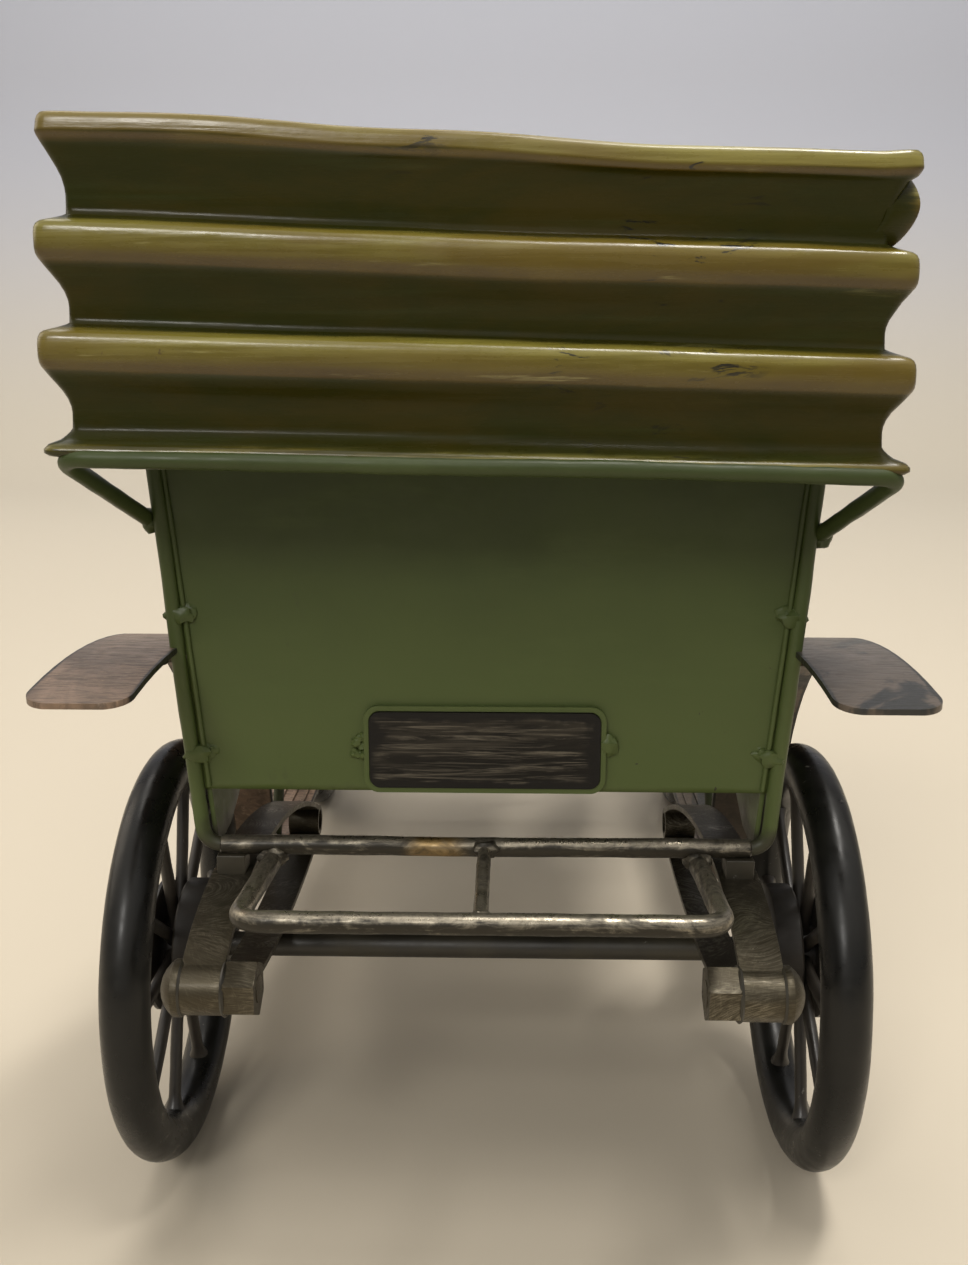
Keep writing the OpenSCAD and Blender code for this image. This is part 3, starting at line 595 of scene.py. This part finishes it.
def make_camera():
    data = bpy.data.cameras.new("camera")
    data.sensor_fit = "HORIZONTAL"
    data.sensor_width = 36
    data.lens = 36 * FOCAL_OVER_WIDTH
    data.clip_start = 0.01
    camera = bpy.data.objects.new("camera", data)
    look = (Matrix.Rotation(CAMERA_YAW, 4, "Z") @ Matrix.Rotation(math.pi / 2 - CAMERA_PITCH, 4, "X")
            @ Matrix.Rotation(CAMERA_ROLL, 4, "Z"))
    camera.matrix_world = Matrix.Translation(CAMERA_AT) @ look
    bpy.context.scene.collection.objects.link(camera)
    bpy.context.scene.camera = camera


def area_light(name, at, aim, size, power, color):
    data = bpy.data.lights.new(name, "AREA")
    data.shape = "RECTANGLE"
    data.size, data.size_y = size
    data.energy = power
    data.color = color
    light = bpy.data.objects.new(name, data)
    light.location = at
    light.rotation_euler = (Vector(aim) - Vector(at)).to_track_quat("-Z", "Y").to_euler()
    bpy.context.scene.collection.objects.link(light)


def backdrop_paper():
    """Warm pale paper that turns cooler as it rises behind the object."""
    g = Graph("studio_paper")
    height = g.ramp(g.place(2), 0.0, 0.4)
    tone = g.mix(height, (0.50, 0.445, 0.355), (0.43, 0.435, 0.48))
    return g.done(tone, 0.7, g.bump(g.noise(90, 3), 0.1, 0.0002))


def make_stage():
    """A sheet of paper: flat under the object, bent up behind it."""
    half_wide, front, bend_at, bend_r, top = 3.2, -2.2, 0.9, 0.45, 2.4
    rows = []
    for x in (-half_wide, half_wide):
        row = [Vector((x, front, 0)), Vector((x, bend_at, 0))]
        row += [Vector((x, bend_at + bend_r * math.sin(a), bend_r * (1 - math.cos(a))))
                for a in [math.radians(d) for d in range(6, 91, 6)]]
        row.append(Vector((x, bend_at + bend_r, top)))
        rows.append(row)
    solid = Solid()
    solid.grid(rows)
    floor = solid.make("studio_floor", math.pi)
    floor.data.materials.append(backdrop_paper())


def make_lights():
    """A sky that is brighter overhead, soft area lights, and a strip for lines of shine on the folds."""
    world = bpy.data.worlds.new("studio")
    world.use_nodes = True
    tree = world.node_tree
    background = tree.nodes["Background"]
    background.inputs[0].default_value = (0.98, 0.94, 0.88, 1)
    split = tree.nodes.new("ShaderNodeSeparateXYZ")
    tree.links.new(tree.nodes.new("ShaderNodeTexCoord").outputs["Generated"], split.inputs[0])
    height = tree.nodes.new("ShaderNodeMapRange")
    tree.links.new(split.outputs[2], height.inputs["Value"])
    for name, number in (("From Min", 0.05), ("From Max", 0.8), ("To Min", 0.22), ("To Max", 1.05)):
        height.inputs[name].default_value = number
    tree.links.new(height.outputs[0], background.inputs[1])
    bpy.context.scene.world = world
    area_light("overhead", (-0.1, 0.45, 1.15), (0, -0.05, 0.05), (0.9, 0.7), 4.8, (1.0, 0.95, 0.88))
    area_light("overhead_strip", (0.2, -0.2, 0.9), (0.02, -0.1, 0.1), (0.5, 0.1), 5.5, (1.0, 0.96, 0.9))
    area_light("left_wall", (-1.1, 0.25, 0.6), (0, 0, 0.08), (0.8, 0.8), 3.0, (1.0, 0.88, 0.72))
    area_light("backdrop_wash", (0, 0.7, 1.0), (0, 1.45, 0.45), (1.8, 0.4), 5.5, (0.85, 0.92, 1.0))
    area_light("behind_viewer", (-0.3, -0.95, 0.7), (0, -0.1, 0.06), (0.2, 0.2), 3.4, (1.0, 0.97, 0.92))


make_camera()
make_stage()
make_lights()
bpy.context.scene.view_settings.view_transform = "Standard"

# ---------------- folded hood

PLEATS = 3
PLEAT = 13.3 * MM              # the height of one fold
DEPTH = 3.4 * MM               # how far a nose stands out from a valley
FLARE = 1.7 * MM               # how much wider the hem is than the top
HOOD_SHIFT = -0.9 * MM         # the hood sits a little to the left of the middle,
HOOD_DROP = 0.8 * MM           # and a little low in its CAD box
SAG_LOW, SAG_HIGH = 0.019, 0.045   # the slope down to the right, at the hem and at the rim
BOW_SAG = 0.02
BOW_LIFT = 0.3 * MM
BOW_FOOT_X = 50.9 * MM         # where the bow's legs meet the side tubes


def hood_profile():
    """(out, up, crest) from the hem to the rim: three times slope, nose and ledge, then the rim.

    Crest is 1 on the noses, where a painted highlight makes the paint yellow, and 0 in the valleys, where
    painted shade makes it dark.
    """
    points = [(1.9, -0.5, 0.1), (2.6, -0.4, 0.3), (3.1, 0.0, 0.5), (3.1, 0.5, 0.6), (2.6, 1.1, 0.5),
              (1.3, 1.6, 0.3), (0.7, 2.1, 0.1), (0.25, 2.6, 0)]
    slope = [(0.02, 3.0, 0), (0.0, 3.9, 0), (0.0, 5.0, 0), (0.1, 5.8, 0), (0.42, 6.8, 0),
             (0.95, 7.8, 0), (1.65, 8.8, 0.05), (2.3, 9.7, 0.15), (2.78, 10.4, 0.5), (3.05, 10.8, 0.9)]
    nose = [(3.26, 11.3, 1), (3.37, 12.0, 1), (3.4, 12.9, 1), (3.4, 13.7, 1), (3.34, 14.4, 1),
            (3.12, 14.95, 1), (2.7, 15.3, 1), (2.1, 15.5, 0.8), (1.3, 15.75, 0.5), (0.5, 16.05, 0.2)]
    rolled_rim = [(2.9, 12.6, 0.6), (2.85, 13.0, 0.9), (2.8, 13.4, 1), (2.75, 13.9, 1), (2.6, 14.4, 1),
                  (2.3, 14.8, 1), (1.9, 14.9, 1), (1.4, 14.6, 0.7)]
    for k in range(PLEATS):
        lift = k * PLEAT / MM
        last = k == PLEATS - 1
        if last:
            slope = [(out * 0.9, up + max(0, up - 4) * 0.2, crest) for out, up, crest in slope]
        points += [(out, up + lift, crest) for out, up, crest in slope + (rolled_rim if last else nose)]
    return [(out * MM, up * MM, crest) for out, up, crest in points]


def hood_plan(half, back, front, r):
    """(place, outward) round a plan of the given half width, from its front left to its front right."""
    sides, corner, across = 30, 8, 120
    plan = []
    for i in range(sides + 1):
        plan.append((Vector((-half, front + (back + r - front) * i / sides)), Vector((-1, 0))))
    for i in range(1, corner):
        a = math.radians(180 + 90 * i / corner)
        way = Vector((math.cos(a), math.sin(a)))
        plan.append((Vector((-half + r, back + r)) + way * r, way))
    for i in range(across + 1):
        plan.append((Vector((-half + r + 2 * (half - r) * i / across, back)), Vector((0, -1))))
    for i in range(1, corner):
        a = math.radians(270 + 90 * i / corner)
        way = Vector((math.cos(a), math.sin(a)))
        plan.append((Vector((half - r, back + r)) + way * r, way))
    for i in range(sides + 1):
        plan.append((Vector((half, back + r + (front - back - r) * i / sides)), Vector((1, 0))))
    return plan


def hood_warp(point, tall):
    """The folded sheet's hand-made shape: it sags to the right and waves along its folds."""
    x, y, up = point
    share = up / tall
    fold = round(up / PLEAT - 0.1)
    wave = noise.noise(Vector((x * 17, y * 17, fold * 3.1)))
    ripple = noise.noise(Vector((x * 60, y * 60, up * 50 + 5)))
    sag = SAG_LOW + (SAG_HIGH - SAG_LOW) * share
    z = up - sag * x + (wave * 0.7 + ripple * 0.14) * MM * (0.3 + 0.7 * share)
    return Vector((x + HOOD_SHIFT, y + (wave * 0.25 + ripple * 0.1) * MM, z))


def make_torn_flap(tip, outer):
    """The top fold's open end at the torn corner: a raw edge that curls out between two folds."""
    rows, marks = [], []
    for i in range(19):
        t = i / 18
        bulge = math.sin(math.pi * min(1, t * 1.08)) ** 0.7
        edge = outer - (3.6 - 3.0 * bulge + 0.9 * t) * MM
        row = []
        for j in range(13):
            turn = math.radians(90 * min(1, j / 5))
            ahead = max(0, j - 5) * 1.1 * MM
            x = edge - 4.4 * MM * (1 - math.sin(turn)) - 0.25 * ahead
            y = tip.y + (2.9 - 1.3 * bulge) * MM + 0.8 * MM * (1 - math.cos(turn)) + ahead
            z = tip.z - (1.6 + 10.4 * t) * MM
            row.append(Vector((x, y, z)) + wobble((t, j / 8, 3), 2, 0.25 * MM))
        rows.append(row)
        # Crest marks for the hood's painted light: the raw edge goes from valley shade to lit nose colour
        # as it curls out.
        marks.append([0.1 + 0.6 * min(1, j / 5) for j in range(13)])
    solid = Solid()
    solid.grid(rows, marks=marks)
    flap = solid.make("torn_flap", math.radians(60))
    skin = flap.modifiers.new("sheet", "SOLIDIFY")
    skin.thickness = 0.55 * MM
    add_detail(flap, "hood_olive")


def make_hood():
    """The hood's one bent sheet: the profile swept round the plan, warped, with its torn corner."""
    low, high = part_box("hood_cover")
    profile = hood_profile()
    tall = profile[-1][1]
    middle = (low.z + high.z) / 2 - tall / 2 - HOOD_DROP
    half = high.x - DEPTH
    columns, marks = [], []
    for out, up, crest in profile:
        wide = half + FLARE * (0.5 - up / tall)
        plan = hood_plan(wide + out, low.y + DEPTH - out, high.y, 1.2 * MM + 0.2 * out)
        column, mark = [], []
        for (x, y), way in plan:
            point = hood_warp((x, y, up), tall)
            if up < 0:
                point.z += noise.noise(Vector((x * 52, y * 52, 9))) * 1.1 * MM
            if up > tall - 3 * MM:
                dip = math.exp(-((x - 0.028) / 0.035) ** 2) * 0.9 * MM
                point.z += noise.noise(Vector((x * 40, 1, 3))) * 0.6 * MM - dip
            point.z += middle
            column.append(point)
            mark.append(crest)
        columns.append(column)
        marks.append(mark)
    rows = [list(row) for row in zip(*columns)]
    marks = [list(row) for row in zip(*marks)]
    # The rim's end at the right rear corner is torn and stands out to a point.
    rear_right = -34           # the plan's column near the middle of that corner
    tip = Vector((high.x, low.y + 1.5 * MM, rows[rear_right][-1].z))
    for row in rows:
        for point in row[-10:]:
            near = max(0.0, 1 - (point - tip).length / (7 * MM))
            point += Vector((1.2, -0.4, 0.5)) * MM * near
    make_torn_flap(tip, high.x)
    solid = Solid()
    solid.grid(rows, marks=marks)
    hood = solid.make("hood_folds", math.radians(75))
    skin = hood.modifiers.new("sheet", "SOLIDIFY")
    skin.thickness = 0.6 * MM
    skin.offset = -1
    stand_for(hood, "hood_cover")


def make_hood_top():
    """The hood's top skin, laid in over the folds with two shallow creases."""
    low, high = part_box("hood_top_panel")
    rows, marks = [], []
    across, along = 60, 24
    for i in range(across + 1):
        row, mark = [], []
        for j in range(along + 1):
            u, v = i / across, j / along
            edge = 1 - (2 * u - 1) ** 6
            crown = (edge * 0.5 + 0.3 * math.cos(v * 2.5 * math.pi) * edge) * MM
            x = low.x + (high.x - low.x) * u
            y = low.y + (high.y - low.y) * v
            z = (low.z + high.z) / 2 - SAG_HIGH * x - 1.2 * MM + crown
            z += noise.noise(Vector((x * 60, y * 60, 4))) * 0.25 * MM
            row.append(Vector((x + HOOD_SHIFT, y, z)))
            # Crest marks for the hood's painted light: a little lighter on the skin's crowns, darker in
            # its creases.
            mark.append(0.3 + 0.12 * math.cos(v * 2.5 * math.pi))
        rows.append(row)
        marks.append(mark)
    solid = Solid()
    solid.grid(rows, marks=marks)
    piece = solid.make("hood_top_skin")
    skin = piece.modifiers.new("sheet", "SOLIDIFY")
    skin.thickness = 0.7 * MM
    stand_for(piece, "hood_top_panel")


make_hood()
make_hood_top()

# ---------------- tubes, rack and solder


def mirrored(p):
    return Vector((-p[0], p[1], p[2]))


def make_rear_frame():
    """The two side tubes, bent in under the body to meet the cross bar."""
    low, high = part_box("rear_tube_frame")
    bar_low, bar_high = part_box("rear_cross_bar")
    r = 1.2 * MM
    y = (low.y + high.y) / 2
    z_bar = (bar_low.z + bar_high.z) / 2
    top = Vector((high.x - r, y, high.z - 0.1 * MM))
    foot = Vector((bar_high.x + 2.9 * MM, y, z_bar))
    inward = Vector((bar_high.x - 1.6 * MM, y, z_bar))
    solid = Solid()
    for flip in (Vector, mirrored):
        path = resample(round_corners([flip(top), flip(foot), flip(inward)], 3.4 * MM), 1.2 * MM)
        path = [p + wobble(p, 45, 0.22 * MM) for p in path]
        tube(solid, path, r, lumps=0.06)
    stand_for(solid.make("side_tubes"), "rear_tube_frame")


def make_cross_bar():
    """The hand-straightened bar between the side tubes."""
    low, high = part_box("rear_cross_bar")
    r = (high.z - low.z) / 2
    y, z = (low.y + high.y) / 2, (low.z + high.z) / 2
    path = resample([Vector((low.x, y, z)), Vector((high.x, y, z))], 1.5 * MM)
    path = [p + Vector((0, 0, noise.noise(p * 30) * 0.15 * MM)) for p in path]
    solid = Solid()
    tube(solid, path, r * 0.98, lumps=0.05, seed=3)
    stand_for(solid.make("cross_bar_rod"), "rear_cross_bar")


def make_rack():
    """The rack's bent loop, welded to the cross bar at both ends."""
    low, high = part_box("luggage_rack")
    r = 1.6 * MM
    y_in, y_out = high.y - 0.3 * MM, low.y + r
    z_in, z_out = low.z + r, high.z - r
    inner, outer = Vector((high.x - r, y_in, z_in)), Vector((high.x - r, y_out, z_out))
    path = round_corners([inner, outer, mirrored(outer), mirrored(inner)], 4.5 * MM)
    solid = Solid()
    tube(solid, resample(path, 1.2 * MM), r * 0.98, lumps=0.06, seed=7)
    for flip, seed in ((Vector, 2.0), (mirrored, 5.0)):
        spot = flip(inner) + Vector((0, -0.9 * MM, 0.5 * MM))
        blob(solid, spot, (2.3 * MM, 1.7 * MM, 1.6 * MM), seed)
    stand_for(solid.make("rack_loop"), "luggage_rack")


def make_rack_strut():
    """The strut from the cross bar to the middle of the rack, welded at each end."""
    low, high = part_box("rack_strut")
    start = Vector((0, high.y - 0.2 * MM, low.z + 1.1 * MM))
    end = Vector((0, low.y + 0.3 * MM, high.z - 1.1 * MM))
    solid = Solid()
    tube(solid, resample([start, end], 1.2 * MM), 1.08 * MM, lumps=0.07, seed=9)
    blob(solid, start + Vector((0.2 * MM, -1.2 * MM, 0.3 * MM)), (2.2 * MM, 1.5 * MM, 1.5 * MM), 8.0)
    blob(solid, end + Vector((0, 1.0 * MM, -0.1 * MM)), (1.7 * MM, 1.3 * MM, 1.2 * MM), 11.0)
    stand_for(solid.make("strut_rod"), "rack_strut")


def make_bow():
    """The bow under the hood, with two legs soldered to the side tubes."""
    low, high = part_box("hood_rear_bow")
    r = 1.25 * MM
    rise = BOW_SAG * high.x
    under_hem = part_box("hood_cover")[0].y + 0.9 * MM
    corner = Vector((high.x - r - 0.5 * MM, under_hem, high.z - r - rise + BOW_LIFT))
    foot = Vector((BOW_FOOT_X, high.y - 0.9 * MM, low.z + 1.0 * MM + rise))
    path = round_corners([foot, corner, mirrored(corner), mirrored(foot)], 3.5 * MM, 12)
    path = resample(path, 1.3 * MM)
    bends = [noise.noise(p * 28 + Vector((3, 0, 0))) * 0.25 * MM for p in path]
    path = [p + Vector((-0.4 * MM, 0, bend - BOW_SAG * p.x)) for p, bend in zip(path, bends)]
    solid = Solid()
    tube(solid, path, r, lumps=0.07, seed=4)
    for flip, seed in ((Vector, 1.0), (mirrored, 6.0)):
        joint = flip(foot)
        joint.z -= BOW_SAG * joint.x
        blob(solid, joint, (1.9 * MM, 1.7 * MM, 1.9 * MM), seed)
    stand_for(solid.make("hood_bow"), "hood_rear_bow")


def make_side_struts():
    """The second pair of thin struts, further forward, between the hood and the side panels."""
    low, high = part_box("hood_side_struts")
    solid = Solid()
    for flip in (Vector, mirrored):
        top = flip(Vector((high.x - 1.1 * MM, high.y - 1.1 * MM, high.z)))
        foot = flip(Vector((high.x - 3.6 * MM, low.y + 1.1 * MM, low.z + 0.6 * MM)))
        tube(solid, resample([top, foot], 1.2 * MM), 1.08 * MM, lumps=0.06, seed=2)
    stand_for(solid.make("side_strut_rods"), "hood_side_struts")


PANEL_FOOT = 44.6 * MM         # half the rear panel's width at its lower edge,
PANEL_LEAN = 0.0904            # and how far its edge goes out per unit of height
SOLDER_HEIGHTS = (84 * MM, 106.5 * MM)


def make_solder():
    """Lumpy solder where the panel meets the tubes and the plate."""
    panel_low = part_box("rear_panel")[0]
    y = panel_low.y - 0.1 * MM
    solid = Solid()
    seed = 1.0
    for side in (-1, 1):
        for z in SOLDER_HEIGHTS:
            x = side * (PANEL_FOOT + (z - panel_low.z) * PANEL_LEAN)
            blob(solid, (x, y, z), (2.3 * MM, 1.25 * MM, 1.5 * MM), seed, 0.45)
            blob(solid, (x - side * 1.5 * MM, y + 0.3 * MM, z + 0.5 * MM),
                 (1.6 * MM, 0.7 * MM, 1.2 * MM), seed + 0.4, 0.5)
            seed += 1.3
    # The plate is held by one run of solder on the right and a cluster of small drops on the left.
    blob(solid, (19.5 * MM, y - 0.2 * MM, 85.9 * MM), (1.5 * MM, 1.0 * MM, 1.7 * MM), 12, 0.5)
    cluster_x, cluster_z = -19.6 * MM, 85.3 * MM
    for k in range(5):
        angle = k * 1.3
        drop = (cluster_x + 0.8 * MM * math.cos(angle), y, cluster_z + 1.5 * MM * math.sin(angle))
        blob(solid, drop, (0.9 * MM, 0.7 * MM, 0.8 * MM), 20 + k, 0.6)
    stand_for(solid.make("solder_runs"), "solder_joints")


def make_rear_panel():
    """The rear sheet: hand-flattened, with faint dents and a worn hem."""
    low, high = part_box("rear_panel")
    half_high = high.x
    columns, lines = 90, 54
    rows = []
    for i in range(columns + 1):
        row = []
        for j in range(lines + 1):
            v = j / lines
            half = PANEL_FOOT + (half_high - PANEL_FOOT) * v
            x, z = half * (2 * i / columns - 1), low.z + (high.z - low.z) * v
            dent = noise.noise(Vector((x * 26, 2, z * 26))) * 0.22
            dent += noise.noise(Vector((x * 90, 5, z * 90))) * 0.05
            hold = min(1, 6 * min(i, columns - i) / columns)
            row.append(Vector((x, low.y + (0.12 + dent * hold) * MM * 0.8, z)))
        rows.append(row)
    solid = Solid()
    solid.grid(rows)
    panel = solid.make("rear_sheet")
    seams = Solid()
    for side in (-1, 1):
        top, foot = (Vector((side * (half - 0.75 * MM), low.y - 0.1 * MM, z))
                     for half, z in ((half_high, high.z), (PANEL_FOOT, low.z + 0.5 * MM)))
        path = [p + wobble(p, 60, 0.12 * MM, 2) for p in resample([top, foot], 1.5 * MM)]
        tube(seams, path, 0.42 * MM, 10, 0.15, 3)
    add_detail(seams.make("seam_beads"), "green_paint")
    skin = panel.modifiers.new("sheet", "SOLIDIFY")
    skin.thickness = 0.6 * MM
    skin.offset = 1 if panel.data.polygons[0].normal.y > 0 else -1
    stand_for(panel, "rear_panel")


def make_spring_shade_washers():
    """Thin dark washers on each side of the rear spring eyes, against the bolt's head and the nut: painted
    shade, dark rings that stand in for the shaded gaps between head, eye and nut.
    """
    for side in ("left", "right"):
        low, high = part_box("rear_spring_" + side)
        spots = [v.co for v in nodes["spring_nuts"].data.vertices if v.co.y < 0 and v.co.x * high.x > 0]
        middle_y, middle_z = ((min(p[n] for p in spots) + max(p[n] for p in spots)) / 2 for n in (1, 2))
        r = middle_y - low.y
        half_thick = 0.3 * MM
        outline = [(r * 0.5, -half_thick), (r + 0.1 * MM, -half_thick), (r + 0.3 * MM, 0),
                   (r + 0.1 * MM, half_thick), (r * 0.5, half_thick)]
        solid = Solid()
        for x in (low.x, high.x):
            lathe(solid, outline, Vector((x, middle_y, middle_z)), (1, 0, 0))
        add_detail(solid.make("eye_shade_washers_" + side), "black_iron")


make_rear_frame()
make_cross_bar()
make_rack()
make_rack_strut()
make_spring_shade_washers()
make_bow()
make_side_struts()
make_solder()
make_rear_panel()

# ---------------- wheels

TYRE_R = 4.1 * MM
HUB_BORE = 2.26 * MM
SPOKES = 10


def make_tyre(corner_name):
    """A solid round-section tyre with a slightly uneven skin."""
    node = "tyre_" + corner_name
    low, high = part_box(node)
    centre = (low + high) / 2
    outer = (high.z - low.z) / 2
    ring = outer - TYRE_R
    seed = 3.7 * (1 + sorted(n for n in nodes if n.startswith("tyre_")).index(node))
    rows = []
    for i in range(180):
        a = 2 * math.pi * i / 180
        out = Vector((0, math.cos(a), math.sin(a)))
        row = []
        for k in range(32):
            b = 2 * math.pi * k / 32
            way = out * math.cos(b) + Vector((1, 0, 0)) * math.sin(b)
            spot = out * ring + way * TYRE_R
            lump = noise.noise(spot * 120 + Vector((seed, 0, 0))) * 0.014
            row.append(centre + out * ring + way * TYRE_R * (0.992 + min(lump, 0.008)))
        rows.append(row)
    solid = Solid()
    solid.grid(rows, round_rows=True, round_cols=True)
    stand_for(solid.make(node + "_ring"), node)


def spoke_radius(t):
    """A spoke's radius from the hub, t = 0, to the rim, t = 1: it flares at both welds."""
    weld = 0.12
    at_rim, at_hub = max(0, (t - 1 + weld) / weld), max(0, (weld - t) / weld)
    return (1.1 + 0.75 * at_rim ** 2 + 0.5 * at_hub ** 2) * MM


def in_mm(outline):
    """The same (radius, distance) points, given in mm."""
    return [(r * MM, along * MM) for r, along in outline]


def make_wheel(corner_name, drum_in, drum_r):
    """Spokes with flared welds, hub barrel, outer disc and cap, and the drum inside.

    The drum reaches in to drum_in and has the radius drum_r, both in mm. A deep one is coned.
    """
    node = "wheel_" + corner_name
    side = -1 if "left" in corner_name else 1
    tyre_low, tyre_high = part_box("tyre_" + corner_name)
    centre = (tyre_low + tyre_high) / 2
    reach = (tyre_high.z - tyre_low.z) / 2 - 2 * TYRE_R
    solid = Solid()
    for i in range(SPOKES):
        a = 2 * math.pi * (i + 0.5) / SPOKES
        # The CAD wheel is turned from z to x, so its spokes start from the row's vertical.
        out = Vector((0, math.sin(a) * side, -math.cos(a)))
        path = [centre + out * (4 * MM + (reach + 0.5 * MM - 4 * MM) * t / 26) for t in range(27)]
        path = [p + wobble(p, 40, 0.18 * MM, i) for p in path]
        tube(solid, path, spoke_radius, sides=14, lumps=0.06, seed=i)
    axis = (side, 0, 0)
    barrel = [(HUB_BORE, -3.4 * MM)] + in_mm([(4.6, -3.4), (5, -3), (5, 2)])
    disc_and_cap = in_mm([(5, 1.9), (11.6, 2.0), (12, 2.3), (12, 2.9), (11.6, 3.2), (6.4, 3.2), (5.6, 3.5),
                          (5, 4.0), (4.2, 4.1), (4.0, 4.5), (3.9, 5.6), (3.2, 6.2), (1.6, 6.4), (0, 6.4)])
    rim = -3.4 + min(0, drum_in + 3.4) / 2
    shoulder = rim - 0.15 if drum_in < -4 else drum_in + 0.05
    drum = [(HUB_BORE, drum_in * MM)] + in_mm([
        (3.7, drum_in), (4.1, drum_in + 0.3), (drum_r - 0.5, shoulder), (drum_r, rim + 0.3),
        (drum_r, -2.0), (drum_r - 0.4, -1.6), (5, -1.6)])
    lathe(solid, barrel, centre, axis)
    lathe(solid, disc_and_cap, centre, axis, 64)
    lathe(solid, drum, centre, axis, 64)
    stand_for(solid.make(node + "_spoked"), node)


DRUMS = {"rear": (-9.5, 12), "front": (-3.4, 10)}      # how far in it reaches, and its radius, in mm
for axle in ("rear", "front"):
    for side in ("left", "right"):
        make_tyre(axle + "_" + side)
        make_wheel(axle + "_" + side, *DRUMS[axle])

# ---------------- seats


ROLLS = 12
ROLL_HIGH = 2.6 * MM
ROLL_FOOT = 2.7 * MM           # how far the rolls' seams lie below the pad's face


def pleated_surface(node, along_y):
    """A seat pad with rolled pleats: round across each roll, pulled in at the border and the seams."""
    low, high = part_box(node)
    width = high.x - low.x
    columns, lines = ROLLS * 10, 26
    rows, marks = [], []
    for i in range(columns + 1):
        u = i / columns
        row, mark = [], []
        for j in range(lines + 1):
            v = j / lines
            roll = abs(math.sin(math.pi * u * ROLLS)) ** 0.6
            end = min(1.0, 5 * min(v, 1 - v), 12 * min(u, 1 - u)) ** 0.5
            puff = ROLL_HIGH * roll * end
            x = low.x + width * u
            if along_y:
                y, z = low.y + (high.y - low.y) * v, high.z - ROLL_FOOT + puff
            else:
                y, z = high.y - ROLL_FOOT + puff, low.z + (high.z - low.z) * v
            row.append(Vector((x, y, z)))
            # Crest marks for the seat's painted light: 1 on the rolls' tops, 0 in the grooves and at the
            # border.
            mark.append(roll * end)
        rows.append(row)
        marks.append(mark)
    return rows, marks, low, high


def make_seat(node, along_y):
    """A seat cushion, lying along y on a narrower base, or a seat back, which stands."""
    rows, marks, low, high = pleated_surface(node, along_y)
    solid = Solid()
    solid.grid(rows, marks=marks)
    x1, x2 = low.x, high.x
    if along_y:
        face, back = high.z - ROLL_FOOT, high.z - 7 * MM
        ring = [[Vector((x, y, z)) for x, y in ((x1, low.y), (x2, low.y), (x2, high.y), (x1, high.y))]
                for z in (face, back)]
        base = [[Vector((x, y, z)) for x, y in ((x1 + 2 * MM, low.y + MM), (x2 - 2 * MM, low.y + MM),
                                                (x2 - 2 * MM, high.y - MM), (x1 + 2 * MM, high.y - MM))]
                for z in (back, low.z)]
        solid.grid(base, round_cols=True, ends=True)
    else:
        ring = [[Vector((x, y, z)) for x, z in ((x1, low.z), (x2, low.z), (x2, high.z), (x1, high.z))]
                for y in (high.y - ROLL_FOOT, low.y)]
    solid.grid(ring, round_cols=True, ends=True)
    stand_for(solid.make(node + "_pleated"), node)


for name in ("front_seat_cushion", "rear_seat_cushion"):
    make_seat(name, True)
for name in ("front_seat_back", "rear_seat_back"):
    make_seat(name, False)

# ---------------- carried-over nodes

THIN = ("side_panel_left", "side_panel_right", "floor_pan", "number_plate", "number_plate_frame", "bonnet",
        "rear_mudguard_left", "rear_mudguard_right", "front_mudguard_left", "front_mudguard_right")
EDGES = dict.fromkeys(THIN, 0.12 * MM)
EDGES.update(spring_bolts=0.45 * MM, spring_nuts=0.45 * MM)
for name in nodes:
    if name not in replaced:
        soften(name, EDGES.get(name, 0.25 * MM))
